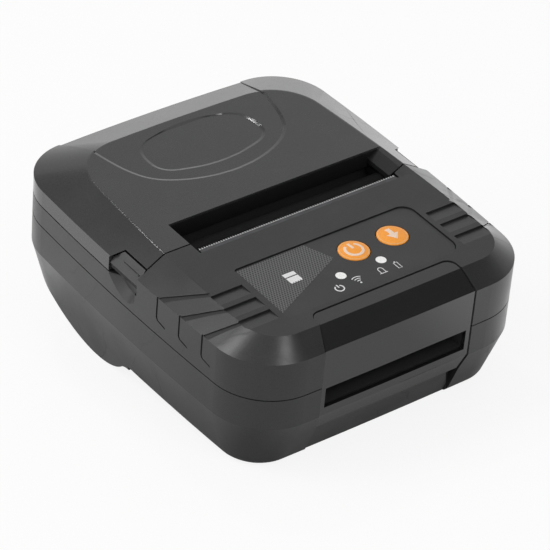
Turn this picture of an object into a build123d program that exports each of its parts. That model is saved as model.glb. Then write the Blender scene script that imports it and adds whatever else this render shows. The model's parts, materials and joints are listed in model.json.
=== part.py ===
from build123d import *
from math import asin, atan2, cos, degrees, hypot, pi, radians, sin, tan
import os

# Portable thermal printer, millimetres.
# Every piece is drawn level first: x to the right, y to the back with the front wall at y = 0,
# z up with z = 0 at the parting line between the two housings.
# At the end all of them are tipped nose-down onto the rear belly and the front bottom edge.

# Walls and fits
WALL = 2.2
LID_WALL = 1.9
SEAM = 0.2
GAP = 0.3
RUN_FIT = 0.05

# Paper
PAPER_X = 2.8
PAPER_WIDTH = 80.0
PAPER_LEFT = PAPER_X - PAPER_WIDTH / 2
PAPER_RIGHT = PAPER_X + PAPER_WIDTH / 2

# Platen roller and the cheeks of the lid that carry it
PLATEN_Y = 66.1
PLATEN_Z = 10.5
PLATEN_R = 5.0
SHAFT_R = 2.0
BUSHING_R = 4.0
BUSHING_NECK_R = 3.0
CHEEK_T = 1.8
CHEEK_LEFT_X = (PAPER_LEFT - 1.9 - CHEEK_T, PAPER_LEFT - 1.9)
CHEEK_RIGHT_X = (PAPER_RIGHT + 1.3, PAPER_RIGHT + 1.3 + CHEEK_T)
CHEEK_TOP_Z = PLATEN_Z + 3.1

# Steel chassis: two side plates and a wall behind the print head
CHASSIS_T = 1.4
CHASSIS_PLAY = 0.7
CHASSIS_LEFT_X = (CHEEK_LEFT_X[0] - CHASSIS_PLAY - CHASSIS_T, CHEEK_LEFT_X[0] - CHASSIS_PLAY)
CHASSIS_RIGHT_X = (CHEEK_RIGHT_X[1] + CHASSIS_PLAY, CHEEK_RIGHT_X[1] + CHASSIS_PLAY + CHASSIS_T)
CHASSIS_SPAN = (CHASSIS_LEFT_X[0] - 12, CHASSIS_RIGHT_X[1] + 12)
CHASSIS_FOOT_Y = (PLATEN_Y - 3.6, PLATEN_Y + 3.3)
CHASSIS_FOOT_T = 1.2
CHASSIS_SCREW_X = (-20.0, 26.0)
CHASSIS_SCREW_Y = PLATEN_Y - 0.1
BUSHING_SLOT_LEAN = 14.0

# Print head
CERAMIC_T = 1.0
SINK_T = 3.8
SINK_Y = (PLATEN_Y - PLATEN_R - GAP - CERAMIC_T - SINK_T, PLATEN_Y - PLATEN_R - GAP - CERAMIC_T)
SPRING_ROOM = 4.0
HEAD_WALL_Y = (SINK_Y[0] - SPRING_ROOM - CHASSIS_T, SINK_Y[0] - SPRING_ROOM)
HEAD_X = (CHASSIS_LEFT_X[1] + 0.7, CHASSIS_RIGHT_X[0] - 0.7)
HEAD_Z = (PLATEN_Z - 7.7, PLATEN_Z + 5.9)
HEAD_PIVOT_Y = (SINK_Y[0] + SINK_Y[1]) / 2
HEAD_PIVOT_Z = HEAD_Z[0] + 1.6
HEAD_PIVOT_R = 1.2
SPRING_SPREAD = 28.0
SPRING_Z = PLATEN_Z + 0.5
SPRING_R = 2.0
SPRING_WIRE_R = 0.3
SPRING_TURNS = 5

# Gear train, all on the left of the chassis
GEAR_MODULE = 0.6
GEAR_PLAY = 0.16
PLATEN_TEETH = 22
IDLER_TEETH = 26
MOTOR_TEETH = 12
GEAR_WIDTH = 3.4
GEAR_X = (CHASSIS_LEFT_X[0] - 1.2 - GEAR_WIDTH, CHASSIS_LEFT_X[0] - 1.2)
IDLER_ANGLE = -92.0
MOTOR_ANGLE = -174.5
IDLER_AXLE_R = 1.5
MOTOR_SHAFT_R = 1.0
MOTOR_R = 7.2
MOTOR_LENGTH = 14.0

# Rear belly round the paper roll, and the bucket inside it
BELLY_R = 29.3
BELLY_Z = -12.3
BELLY_BLEND = 7.0
BUCKET_WALL = 1.2
BUCKET_PLAY = 0.4
BUCKET_R = BELLY_R - WALL - BUCKET_PLAY - BUCKET_WALL
BUCKET_SIDE_WALL = 1.5
BUCKET_TOP_Z = 4.5
ROLL_SIDE_PLAY = 0.5
PLATEN_TO_BUCKET = 3.7
BELLY_Y = PLATEN_Y + PLATEN_TO_BUCKET + BUCKET_WALL + BUCKET_R

# Plan outline at the walls
SIDE_ROOM = 11.5
BACK_ROOM = 12.6
WIDTH = 2 * (CHASSIS_RIGHT_X[1] + SIDE_ROOM)
LENGTH = BELLY_Y + BELLY_R + BACK_ROOM
WIDEST_Y = 74.9
SIDE_RADIUS = 1019.0
FRONT_RADIUS = 2565.0
BACK_RADIUS = 885.0
FRONT_CORNER = 21.2
BACK_CORNER = 20.5

# Levels
DECK_Z = PLATEN_Z + 10.0
BEVEL_Z = DECK_Z - 6.2
LID_SEAM_Z = 8.0
TAPER_Z = -11.7
BASE_Z = -31.4
BOTTOM_EDGE_R = 3.0

# Deck outline, inside the bevel
SIDE_BEVEL = 10.1
DECK_HALF = WIDTH / 2 - SIDE_BEVEL
DECK_WIDEST_Y = 35.0
DECK_SIDE_RADIUS = 827.0
DECK_FRONT_Y = 6.4
DECK_BACK_Y = LENGTH - 14.5
DECK_FRONT_CORNER = 12.3
DECK_BACK_CORNER = 19.3
LID_EDGE_R = 1.6

# Lower taper, per millimetre of depth
SIDE_TAPER = 0.297
FRONT_TAPER = 0.36
BACK_TAPER = 0.3
CORNER_TAPER = 0.38
TAPER_DEPTH = 31.0

# Where the lid and the front cover part, and the opening for the paper
COVER_REAR_Y = PLATEN_Y - 4.4
LID_FRONT_Y = COVER_REAR_Y + 0.6
COVER_DECK_REAR_Y = COVER_REAR_Y - 5.3
RECESS_BACK_Y = PLATEN_Y + 8.2
RECESS_LEFT_X = PAPER_LEFT - 1.7
RECESS_RIGHT_FOOT_X = PAPER_RIGHT + 0.6
RECESS_RIGHT_X = RECESS_RIGHT_FOOT_X + 5.6
RECESS_FLOOR_Z = PLATEN_Z
RECESS_FOOT_Z = DECK_Z - 3.1
RECESS_WALL = 1.6

# Tear bar
TEAR_LEDGE_Z = DECK_Z - 2.0
TEAR_LEDGE_DEPTH = 2.4
TEAR_LEDGE_T = 1.4
TEAR_X = (PAPER_LEFT - 0.2, PAPER_RIGHT + 0.1)
TEAR_Y = (COVER_DECK_REAR_Y + 1.2, COVER_DECK_REAR_Y + 2.4)
TEAR_T = 0.9
TOOTH_DEPTH = 1.0
TEAR_TEETH = 84

# Sunk fields on top of the lid: half width against distance from the back wall
SUNK_X = -1.1
TONGUE = ((0.0, 49.1), (17.8, 46.2), (27.0, 39.8), (32.0, 29.4), (35.0, 14.9), (39.2, -2.6))
LOOP = ((0.0, 42.2), (11.8, 41.5), (17.3, 39.7), (21.0, 36.0), (21.8, 31.0), (19.9, 23.9), (16.2, 21.0),
        (11.3, 19.5), (0.0, 18.9))
TONGUE_DEPTH = 0.35
LOOP_DEPTH = 0.35
FIELD_EDGE = 1.2

# Lid hinge
HINGE_Y = LENGTH + 1.8
HINGE_Z = LID_SEAM_Z
KNUCKLE_R = 2.5
HINGE_PIN_R = 1.0
HINGE_SPREAD = 31.0
KNUCKLE_W = 5.4
KNUCKLE_STEP = 5.8

# Slot for a chip card, and the guide behind it
SLOT_HALF = 28.65
SLOT_Z = (-8.9, -1.1)
GUIDE_DEPTH = 38.0
GUIDE_WALL = 1.2

# Front panel
PANEL_HALF = SLOT_HALF + 1.75
PANEL_TOP_HALF = PANEL_HALF - 2.0
PANEL_FOOT_HALF = PANEL_HALF - 1.2
PANEL_REAR_Y = 12.2
PANEL_BOTTOM_Z = -18.2
PANEL_CORNER = 3.2
PANEL_T = 1.7
PANEL_SINK = 0.4
PANEL_FRONT_CLEAR_Y = FRONT_TAPER * (TAPER_Z - PANEL_BOTTOM_Z) + WALL + 2.8

# Control field
FIELD_X = (-35.0, 35.2)
FIELD_LENGTH = 28.6
FIELD_Y = (PANEL_REAR_Y + 2.6, PANEL_REAR_Y + 2.6 + FIELD_LENGTH)
FIELD_T = 0.8
FIELD_DEPTH = 1.3
FIELD_CORNER_LEFT = 1.2
FIELD_CORNER_RIGHT = 4.5
BUTTON_R = 5.3
BUTTON_HOLE_R = BUTTON_R + GAP
BUTTON_FLANGE_R = BUTTON_HOLE_R + 0.8
BUTTON_Y = FIELD_Y[0] + 17.5
POWER_X = 4.8
FEED_X = 20.7
BUTTON_RISE = 0.2
BUTTON_STROKE = 0.5
BUTTON_DOME_R = 22.0
FLANGE_Z = (DECK_Z - 3.6, DECK_Z - 2.6)
STEM_R = 1.6
LIGHT_X = (-7.0, 9.3)
LIGHT_Y = FIELD_Y[0] + 9.0
LIGHT_R = 1.8

# Key board under the control field
BOARD_T = 1.2
KEY_BOARD_Z = DECK_Z - 8.1
KEY_BOARD_X = (FIELD_X[0] + 2.0, FIELD_X[1] - 2.2)
KEY_BOARD_Y = (FIELD_Y[0] + 1.2, FIELD_Y[1] - 0.4)
KEY_POST_INSET = 3.0
KEY_POST_R = 2.0
KEY_SCREW_R = 0.7
KEY_SCREW_HEAD_R = 1.5
SWITCH_HALF = 2.6
SWITCH_BODY_T = 1.9
SWITCH_CAP_T = 0.6

# Screw columns
FRONT_COLUMN = (WIDTH / 2 - 15.5, 16.0)
REAR_COLUMN = (WIDTH / 2 - 11.0, LENGTH - 14.4)
REAR_COLUMN_FOOT_Z = BELLY_Z - 13.2
COLUMN_R = 2.9
COLUMN_SLEEVE = 0.9
SCREW_R = 1.2
SCREW_HEAD_R = 2.2
SCREW_HEAD_T = 1.4
SCREW_SEAT_RISE = 6.0
SCREW_WAY_R = 1.5
HEAD_WAY_R = 2.5

# Main board on four posts beside the battery bay
MAIN_BOARD_T = 1.6
MAIN_BOARD_Z = SLOT_Z[1] + GUIDE_WALL + 2.9
MAIN_BOARD_HALF = FRONT_COLUMN[0] - COLUMN_R - 1.6
MAIN_BOARD_Y = (6.0, HEAD_WALL_Y[0] - 5.1)
BOARD_POST_R = 2.2
BOARD_POST_X = SLOT_HALF + GUIDE_WALL + GAP + BOARD_POST_R
BOARD_POST_Y = (MAIN_BOARD_Y[0] + 6.0, MAIN_BOARD_Y[1] - 5.5)

# Battery and its bay
BAY_HALF = PANEL_FOOT_HALF - GAP
BAY_TOP_Z = PANEL_BOTTOM_Z
BAY_REAR_Y = PLATEN_Y + 5.9
BAY_WALL = 1.2
PACK_PLAY = 0.4
PACK_HALF = BAY_HALF - PACK_PLAY
PACK_REAR_Y = BAY_REAR_Y - 1.0
PACK_TOP_Z = BAY_TOP_Z - PACK_PLAY
PACK_BOTTOM_Z = BASE_Z + PACK_PLAY
PACK_RECESS = 1.0
RAIL_Z = (BAY_TOP_Z - 5.4, BAY_TOP_Z - 4.2)
RAIL_DEPTH = 1.4
RAIL_FRONT_Y = 14.0
NOTCH_X = PACK_HALF + 0.1
NOTCH = ((NOTCH_X - 3.2, BAY_TOP_Z - 1.4), (NOTCH_X, BAY_TOP_Z + 0.2), (NOTCH_X, BAY_TOP_Z - 9.2))
LATCH_Y = (8.6, 11.8)
LATCH_STEM_LENGTH = 7.4
LATCH_STEM_Z = (BAY_TOP_Z - 4.4, BAY_TOP_Z - 2.4)
LATCH_RIGHT_X = PACK_HALF - 1.3
LATCH_STROKE = 1.2
CONTACT_HALF = 9.0
CONTACT_HEIGHT = 6.0

# Release levers
LEVER_X = WIDTH / 2 - 4.7
LEVER_Z = BEVEL_Z - 0.7
LEVER_Y = (COVER_REAR_Y + 0.2, COVER_REAR_Y + 15.7)
LEVER_TOP_Z = BEVEL_Z + 2.1
LEVER_FACET_Z = LID_SEAM_Z + 3.4
LEVER_BOTTOM_Z = LID_SEAM_Z + 1.3
LEVER_T = 1.7
LEVER_GAP = 0.35
LEVER_CORNER = 4.5
SCOOP_DEPTH = 2.6
SCOOP_PAD_T = 5.0
LEVER_ROD_R = 1.0
LEVER_PIN_R = 0.5
ARM_Y = (LEVER_Y[1] + 2.6, LEVER_Y[1] + 8.6)
ARM_X = (LEVER_X - 1.0, LEVER_X + 0.2)
ARM_FOOT_Z = 1.5
NOSE_REACH = 1.4

# Ports on the right side
PORT_BOARD_X = WIDTH / 2 - 8.9
PORT_BOARD_Y = (19.0, 47.0)
PORT_BOARD_Z = (-14.0, -1.0)
PORT_RIB_T = 2.0
PORT_FACE_X = WIDTH / 2 - 3.0
USB_Y = (35.0, 42.6)
USB_Z = (-8.2, -5.0)
SHELL_T = 0.3
JACK_Y = 27.0
JACK_Z = -6.3
JACK_R = 2.9
JACK_WALL = 0.7
COVER_T = 1.4
POCKET_T = 1.8
COVER_Y = (PORT_BOARD_Y[0] + 2.0, PORT_BOARD_Y[1] - 2.0)
COVER_Z = (-10.6, -1.8)
COVER_PLAY = 0.35
FLAP_Y = COVER_Y[1] - COVER_T / 2
FLAP_X = WIDTH / 2 - (FLAP_Y - WIDEST_Y) ** 2 / (2 * SIDE_RADIUS) - COVER_T / 2

# Shingle steps: y of each one's line on the deck, at the deck edge and at the wall
STEPS = ((36.0, 37.8, 50.6), (28.6, 28.4, 39.0), (21.2, 20.6, 27.4))
STEP_DEPTH = 0.8
STEP_FOOT_DEPTH = 0.7
STEP_EDGE_DEPTH = 1.8
STEP_RUN = 6.6
STEP_INNER_X = DECK_HALF - 12.0
GROOVE_W = 0.8
GROOVE_DEPTH = 0.4
GROOVE_FOOT_Z = 6.6
GROOVE_REACH = 4.6


def box(x0, x1, y0, y1, z0, z1):
    centre = Pos((x0 + x1) / 2, (y0 + y1) / 2, (z0 + z1) / 2)
    return centre * Box(x1 - x0, y1 - y0, z1 - z0)


def rod_x(x0, x1, y, z, r):
    return Pos((x0 + x1) / 2, y, z) * Rot(0, 90, 0) * Cylinder(r, x1 - x0)


def rod_y(y0, y1, x, z, r):
    return Pos(x, (y0 + y1) / 2, z) * Rot(90, 0, 0) * Cylinder(r, y1 - y0)


def rod_z(z0, z1, x, y, r):
    return Pos(x, y, (z0 + z1) / 2) * Cylinder(r, z1 - z0)


def prism_x(points, x0, x1):
    face = Plane.YZ.offset(x0) * make_face(Polyline(*points, close=True))
    return extrude(face, amount=x1 - x0, dir=(1, 0, 0))


def prism_y(points, y0, y1):
    face = Plane((0, y0, 0), x_dir=(1, 0, 0), z_dir=(0, -1, 0)) * make_face(Polyline(*points, close=True))
    return extrude(face, amount=y1 - y0, dir=(0, 1, 0))


def prism_z(points, z0, z1):
    face = Pos(0, 0, z0) * make_face(Polyline(*points, close=True))
    return extrude(face, amount=z1 - z0, dir=(0, 0, 1))


def mirrored(shape, side):
    return shape if side > 0 else mirror(shape, about=Plane.YZ)


# Outline: four long arcs with rounded corners
def outline(half, widest_y, side_r, y0, y1, corner_front, corner_back, z):
    def half_at(y):
        return half - (y - widest_y) ** 2 / (2 * side_r)

    front_half = half_at(y0)
    back_half = half_at(y1)
    front_sag = front_half ** 2 / (2 * FRONT_RADIUS)
    back_sag = back_half ** 2 / (2 * BACK_RADIUS)
    fl = (-front_half, y0 + front_sag)
    fr = (front_half, y0 + front_sag)
    br = (back_half, y1 - back_sag)
    bl = (-back_half, y1 - back_sag)
    edges = ThreePointArc(fl, (0, y0), fr)
    edges += ThreePointArc(fr, (half, widest_y), br)
    edges += ThreePointArc(br, (0, y1), bl)
    edges += ThreePointArc(bl, (-half, widest_y), fl)
    face = make_face(edges)
    corners = face.vertices().sort_by(Axis.Y)
    face = fillet(corners[:2], corner_front)
    corners = face.vertices().sort_by(Axis.Y)
    face = fillet(corners[-2:], corner_back)
    return Pos(0, 0, z) * face


def wall_outline(z, inset=0.0):
    return outline(WIDTH / 2 - inset, WIDEST_Y, SIDE_RADIUS, inset, LENGTH - inset,
                   FRONT_CORNER - inset, BACK_CORNER - inset, z)


def deck_outline(z, inset=0.0):
    return outline(DECK_HALF - inset, DECK_WIDEST_Y, DECK_SIDE_RADIUS, DECK_FRONT_Y + inset,
                   DECK_BACK_Y - inset, DECK_FRONT_CORNER - inset, DECK_BACK_CORNER - inset, z)


def taper_outline(inset):
    depth = TAPER_DEPTH
    return outline(WIDTH / 2 - SIDE_TAPER * depth - inset, WIDEST_Y, SIDE_RADIUS,
                   FRONT_TAPER * depth + inset, LENGTH - BACK_TAPER * depth - inset,
                   FRONT_CORNER - CORNER_TAPER * depth - inset,
                   BACK_CORNER - CORNER_TAPER * depth - inset, TAPER_Z - depth)


# Side view of the underside: flat front part, round belly, slope up to the back wall
def underside_profile(inset, top):
    r = BELLY_R - inset
    base = BASE_Z + inset
    back = (LENGTH - inset, TAPER_Z)
    reach = hypot(back[0] - BELLY_Y, back[1] - BELLY_Z)
    lift = atan2(back[1] - BELLY_Z, back[0] - BELLY_Y)
    touch = lift - (pi / 2 - asin(r / reach))
    tangent = (BELLY_Y + r * cos(touch), BELLY_Z + r * sin(touch))
    blend = BELLY_BLEND + inset
    dz = base - blend - BELLY_Z
    blend_y = BELLY_Y - ((r + blend) ** 2 - dz ** 2) ** 0.5
    blend_z = base - blend
    meet = (BELLY_Y + (blend_y - BELLY_Y) * r / (r + blend), BELLY_Z + (blend_z - BELLY_Z) * r / (r + blend))
    blend_mid = atan2((base - blend_z) + (meet[1] - blend_z), meet[0] - blend_y)
    mid = (blend_y + blend * cos(blend_mid), blend_z + blend * sin(blend_mid))
    edges = Polyline((blend_y, top), (blend_y, base))
    edges += ThreePointArc((blend_y, base), mid, meet)
    edges += ThreePointArc(meet, (BELLY_Y, BELLY_Z - r), tangent)
    edges += Polyline(tangent, back, (LENGTH + 2, TAPER_Z), (LENGTH + 2, top), (blend_y, top))
    return make_face(edges)


def lower_solid(inset, top):
    walls = extrude(wall_outline(TAPER_Z, inset), amount=top - TAPER_Z, dir=(0, 0, 1))
    taper = loft([wall_outline(TAPER_Z, inset), taper_outline(inset)], ruled=True)
    profile = Plane.YZ.offset(-WIDTH) * underside_profile(inset, TAPER_Z + 2)
    belly = taper & extrude(profile, amount=2 * WIDTH, dir=(1, 0, 0))
    base = taper & box(-WIDTH, WIDTH, -5, LENGTH, BASE_Z + inset, TAPER_Z)
    if inset == 0:
        base = fillet(base.edges().group_by(Axis.Z)[0], BOTTOM_EDGE_R)
    base = base & box(-WIDTH, WIDTH, -5, BELLY_Y - 10, -50, TAPER_Z)
    return walls + belly + base


def upper_solid(inset, bottom, edge_r=0):
    walls = extrude(wall_outline(bottom, inset), amount=BEVEL_Z - bottom, dir=(0, 0, 1))
    if inset == 0:
        bevel = loft([wall_outline(BEVEL_Z), deck_outline(DECK_Z)], ruled=True)
        if edge_r:
            bevel = fillet(bevel.edges().group_by(Axis.Z)[-1], edge_r)
        return walls + bevel
    drop = inset * 0.35
    walls = extrude(wall_outline(bottom, inset), amount=BEVEL_Z - drop - bottom, dir=(0, 0, 1))
    bevel = loft([wall_outline(BEVEL_Z - drop, inset), deck_outline(DECK_Z - inset, inset * 0.5)], ruled=True)
    return walls + bevel


# The front panel's region in plan, grown by the gap for the pieces round it
def panel_region(gap, z0, z1):
    top = PANEL_TOP_HALF + gap
    half = PANEL_HALF + gap
    foot = PANEL_FOOT_HALF + gap
    plan = Polyline((-half, -1), (half, -1), (half, 0.3), (top, 7.0), (top, PANEL_REAR_Y + gap),
                    (-top, PANEL_REAR_Y + gap), (-top, 7.0), (-half, 0.3), close=True)
    face = make_face(plan)
    face = fillet(face.vertices().sort_by(Axis.Y)[-2:], PANEL_CORNER + gap)
    upper = extrude(Pos(0, 0, TAPER_Z) * face, amount=z1 - TAPER_Z, dir=(0, 0, 1))
    lower = prism_y([(-half, TAPER_Z), (half, TAPER_Z), (foot, z0), (-foot, z0)], -1, PANEL_REAR_Y)
    return upper + lower


def front_panel(outer, inner):
    skin = (outer - inner) & panel_region(0, PANEL_BOTTOM_Z, DECK_Z + 1)
    slot = box(-SLOT_HALF, SLOT_HALF, -2, 12, SLOT_Z[0], SLOT_Z[1])
    return skin - slot


def wall_x(y):
    return WIDTH / 2 - (y - WIDEST_Y) ** 2 / (2 * SIDE_RADIUS)


# Shingle steps on the front cover: a wedge in front of each line on the deck and the bevel,
# and below it a groove down the wall that bends forward
def step_cuts(side):
    cuts = None
    for deck_y, edge_y, wall_y in STEPS:
        deck = prism_x([(deck_y, DECK_Z + 0.2), (deck_y, DECK_Z - STEP_DEPTH),
                        (deck_y - STEP_RUN, DECK_Z + 0.2)], STEP_INNER_X, DECK_HALF + 0.2)
        bevel = loft([step_section(edge_y, wall_y, 0), step_section(edge_y, wall_y, 1.1)], ruled=True)
        cut = deck + bevel + step_groove(wall_y)
        cuts = cut if cuts is None else cuts + cut
    return mirrored(cuts, side)


# Level cross section of a bevel wedge; share runs from 0 at the wall to 1 at the deck edge
def step_section(edge_y, wall_y, share):
    foot_x = wall_x(wall_y)
    x = foot_x + (DECK_HALF + 1.0 - foot_x) * share
    y = wall_y + (edge_y - wall_y) * share
    depth = STEP_FOOT_DEPTH + (STEP_EDGE_DEPTH - STEP_FOOT_DEPTH) * share
    z = BEVEL_Z + (DECK_Z - BEVEL_Z) * share
    return Pos(0, 0, z) * make_face(Polyline((x + 0.6, y), (x - depth, y), (x + 0.6, y - STEP_RUN), close=True))


def step_groove(y):
    half = GROOVE_W / 2
    z = GROOVE_FOOT_Z
    tip = y - GROOVE_REACH
    line = [(y + half, BEVEL_Z + 0.2), (y + half, z), (y - 0.5, z - 1.2), (tip, z - 2.1),
            (tip, z - 2.1 + GROOVE_W), (y - 0.9, z - 0.7), (y - half, z + 0.2), (y - half, BEVEL_Z + 0.2)]
    return prism_x(line, wall_x(y) - GROOVE_DEPTH, WIDTH / 2 + 1)


# Finger scoop in the side wall under each release lever: a wide mouth over a smaller floor
def scoop_cut(side):
    y0, y1 = LEVER_Y
    z = LID_SEAM_Z
    mouth = [(y1 + 0.2, z - 0.9), (y0 + 10.6, z - 4.6), (y0 + 4.7, z - 6.2), (y0 + 1.5, z - 5.2),
             (y0 + 0.4, z - 3.3)]
    floor = [(y1 - 4.5, z - 0.6), (y0 + 8.4, z - 2.2), (y0 + 5.2, z - 3.0), (y0 + 3.2, z - 2.6),
             (y0 + 2.4, z - 1.8)]
    outer_face = Plane.YZ.offset(WIDTH / 2 + 0.4) * scoop_face(mouth)
    inner_face = Plane.YZ.offset(WIDTH / 2 - SCOOP_DEPTH) * scoop_face(floor)
    return mirrored(loft([outer_face, inner_face], ruled=True), side)


def scoop_face(points):
    top = LID_SEAM_Z + 1
    edge = Spline(*points)
    edge += Polyline(points[-1], (points[-1][0], top), (points[0][0], top), points[0])
    return make_face(edge)


def screw_columns():
    return [(sx * x, y) for x, y in (FRONT_COLUMN, REAR_COLUMN) for sx in (-1, 1)]


def column_foot(y):
    if y < BELLY_Y:
        return BASE_Z
    return REAR_COLUMN_FOOT_Z


def lower_housing(outer, inner):
    shell = outer - inner
    shell = shell & box(-WIDTH, WIDTH, -5, LENGTH + 5, -60, -SEAM)
    for x, y in screw_columns():
        shell += rod_z(BASE_Z - 15, -SEAM, x, y, COLUMN_R + COLUMN_SLEEVE) & outer
    bay = box(-BAY_HALF - BAY_WALL, BAY_HALF + BAY_WALL, 5, BAY_REAR_Y + BAY_WALL, -40, BAY_TOP_Z + BAY_WALL)
    shell += bay & outer
    shell -= box(-BAY_HALF, BAY_HALF, -5, BAY_REAR_Y, -45, BAY_TOP_Z)
    for side in (-1, 1):
        rail = box(BAY_HALF - RAIL_DEPTH, BAY_HALF + 0.4, RAIL_FRONT_Y, BAY_REAR_Y + 0.4, *RAIL_Z)
        shell += mirrored(rail, side)
    shell += card_seats()
    shell += board_posts(outer)
    shell += port_board_ribs(outer)
    shell += port_pad(outer)
    shell -= panel_region(GAP, PANEL_BOTTOM_Z - GAP, 1)
    notch_foot = PANEL_FOOT_HALF + GAP
    shell -= box(-notch_foot, notch_foot, -2, PANEL_FRONT_CLEAR_Y, -45, PANEL_BOTTOM_Z + 1)
    shell -= port_cuts(outer)
    for x, y in screw_columns():
        foot = column_foot(y)
        shell -= rod_z(-60, 1, x, y, SCREW_WAY_R)
        shell -= rod_z(-60, foot + SCREW_SEAT_RISE, x, y, HEAD_WAY_R)
    return shell


# Two ledges that carry the card guide
def card_seats():
    seat_x = SLOT_HALF + GUIDE_WALL
    low = SLOT_Z[0] - GUIDE_WALL
    seats = box(-seat_x, -seat_x + 4, 14, 38, BAY_TOP_Z, low)
    seats += box(seat_x - 4, seat_x, 14, 38, BAY_TOP_Z, low)
    return seats


def board_posts(outer):
    posts = None
    for x in (-BOARD_POST_X, BOARD_POST_X):
        for y in BOARD_POST_Y:
            foot = rod_z(BASE_Z - 5, 0, x, y, BOARD_POST_R) & outer
            post = foot + rod_z(-1, MAIN_BOARD_Z, x, y, BOARD_POST_R)
            posts = post if posts is None else posts + post
    return posts


# Ribs on the side wall that the port board is held against
def port_board_ribs(outer):
    ribs = None
    low_y, high_y = PORT_BOARD_Y
    for y0, y1 in ((low_y, low_y + PORT_RIB_T), (high_y - PORT_RIB_T, high_y)):
        rib = box(PORT_BOARD_X + BOARD_T, WIDTH / 2 + 1, y0, y1, PORT_BOARD_Z[0], PORT_BOARD_Z[1]) & outer
        ribs = rib if ribs is None else ribs + rib
    return ribs


def card_guide():
    x = SLOT_HALF + GUIDE_WALL
    y0 = WALL + GAP
    low = SLOT_Z[0] - GUIDE_WALL
    high = SLOT_Z[1] + GUIDE_WALL
    body = box(-x, x, y0, GUIDE_DEPTH, low, high)
    body -= box(-SLOT_HALF, SLOT_HALF, y0 - 1, GUIDE_DEPTH - GUIDE_WALL, *SLOT_Z)
    reader = box(-18, 18, 33, GUIDE_DEPTH - GUIDE_WALL + 0.3, SLOT_Z[0] - 0.3, SLOT_Z[0] + 2.2)
    return body + reader


def port_pad(outer):
    pad = box(WIDTH / 2 - 4.0, WIDTH / 2 + 1, *PORT_BOARD_Y, TAPER_Z, COVER_Z[1] + 1.2)
    return pad & outer


def side_skin(outer, depth, y0, y1, z0, z1):
    core = extrude(wall_outline(-20, depth), amount=30, dir=(0, 0, 1))
    skin = outer - core
    return skin & box(0, WIDTH, y0, y1, z0, z1)


def port_cuts(outer):
    pocket = side_skin(outer, POCKET_T, COVER_Y[0] - COVER_PLAY, COVER_Y[1] + COVER_PLAY,
                       COVER_Z[0] - COVER_PLAY, COVER_Z[1] + COVER_PLAY)
    usb = box(PORT_BOARD_X, WIDTH, USB_Y[0] - GAP, USB_Y[1] + GAP, USB_Z[0] - GAP, USB_Z[1] + GAP)
    jack = rod_x(PORT_BOARD_X, WIDTH, JACK_Y, JACK_Z, JACK_R + GAP)
    return pocket + usb + jack


def port_cover(outer):
    skin = side_skin(outer, COVER_T, COVER_Y[0], FLAP_Y, *COVER_Z)
    return skin + rod_z(*COVER_Z, FLAP_X, FLAP_Y, COVER_T / 2)


def io_board():
    return box(PORT_BOARD_X, PORT_BOARD_X + BOARD_T, *PORT_BOARD_Y, *PORT_BOARD_Z)


def usb_port():
    x0 = PORT_BOARD_X + BOARD_T
    body = box(x0, PORT_FACE_X, *USB_Y, *USB_Z)
    body -= box(x0 + 1.0, PORT_FACE_X + 1, USB_Y[0] + SHELL_T, USB_Y[1] - SHELL_T,
                USB_Z[0] + SHELL_T, USB_Z[1] - SHELL_T)
    tongue = box(x0 + 0.5, PORT_FACE_X - 0.8, USB_Y[0] + 1.8, USB_Y[1] - 1.8, USB_Z[0] + 1.1, USB_Z[0] + 1.8)
    return body + tongue


def charge_jack():
    x0 = PORT_BOARD_X + BOARD_T
    body = rod_x(x0, PORT_FACE_X, JACK_Y, JACK_Z, JACK_R)
    body -= rod_x(x0 + 0.8, PORT_FACE_X + 1, JACK_Y, JACK_Z, JACK_R - JACK_WALL)
    return body + rod_x(x0 + 0.5, PORT_FACE_X - 0.6, JACK_Y, JACK_Z, 0.65)


def upper_housing(outer, inner):
    shell = (outer - inner) & box(-WIDTH, WIDTH, -5, LENGTH + 5, SEAM, 40)
    shell -= box(-WIDTH, WIDTH, COVER_REAR_Y, LENGTH + 5, LID_SEAM_Z - SEAM, 40)
    for side in (-1, 1):
        x1 = WIDTH / 2 - 1
        pad = box(x1 - SCOOP_PAD_T, x1, LEVER_Y[0] - 1.9, LEVER_Y[1] + 1.6,
                  SEAM + 0.3, LID_SEAM_Z - SEAM) & outer
        shell += mirrored(pad, side)
        shell -= scoop_cut(side)
        shell += lever_catch(side)
        shell -= step_cuts(side)
    shell -= panel_region(GAP, PANEL_BOTTOM_Z, DECK_Z + 2)
    shell -= paper_exit_cut()
    shell += tear_ledge()
    shell -= field_region(0.25, DECK_Z - FIELD_DEPTH, DECK_Z + 1)
    for x in (POWER_X, FEED_X):
        shell -= rod_z(BEVEL_Z, DECK_Z + 1, x, BUTTON_Y, BUTTON_HOLE_R)
    for x in LIGHT_X:
        shell -= rod_z(BEVEL_Z, DECK_Z + 1, x, LIGHT_Y, LIGHT_R)
    for x, y in screw_columns():
        top = DECK_Z - 1 if y < BELLY_Y else LID_SEAM_Z - 1.0
        post = rod_z(0, top, x, y, COLUMN_R)
        if y > BELLY_Y:
            reach = x + (9 if x > 0 else -9)
            post += box(min(x, reach), max(x, reach), y - 1, y + 1, SEAM + 0.3, top) & outer
        post -= rod_z(-1, top - 1.5, x, y, SCREW_R)
        shell += post
    shell += key_board_posts()
    shell += hinge_knuckles(0)
    shell -= hinge_relief(1, GAP)
    shell -= hinge_bores()
    return shell


# Cross section of the opening for the paper, its right end sloping down from the deck
def exit_points(floor):
    return [(RECESS_LEFT_X, floor), (RECESS_RIGHT_FOOT_X, floor), (RECESS_RIGHT_FOOT_X, RECESS_FOOT_Z),
            (RECESS_RIGHT_X, DECK_Z), (RECESS_RIGHT_X, 40), (RECESS_LEFT_X, 40)]


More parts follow.
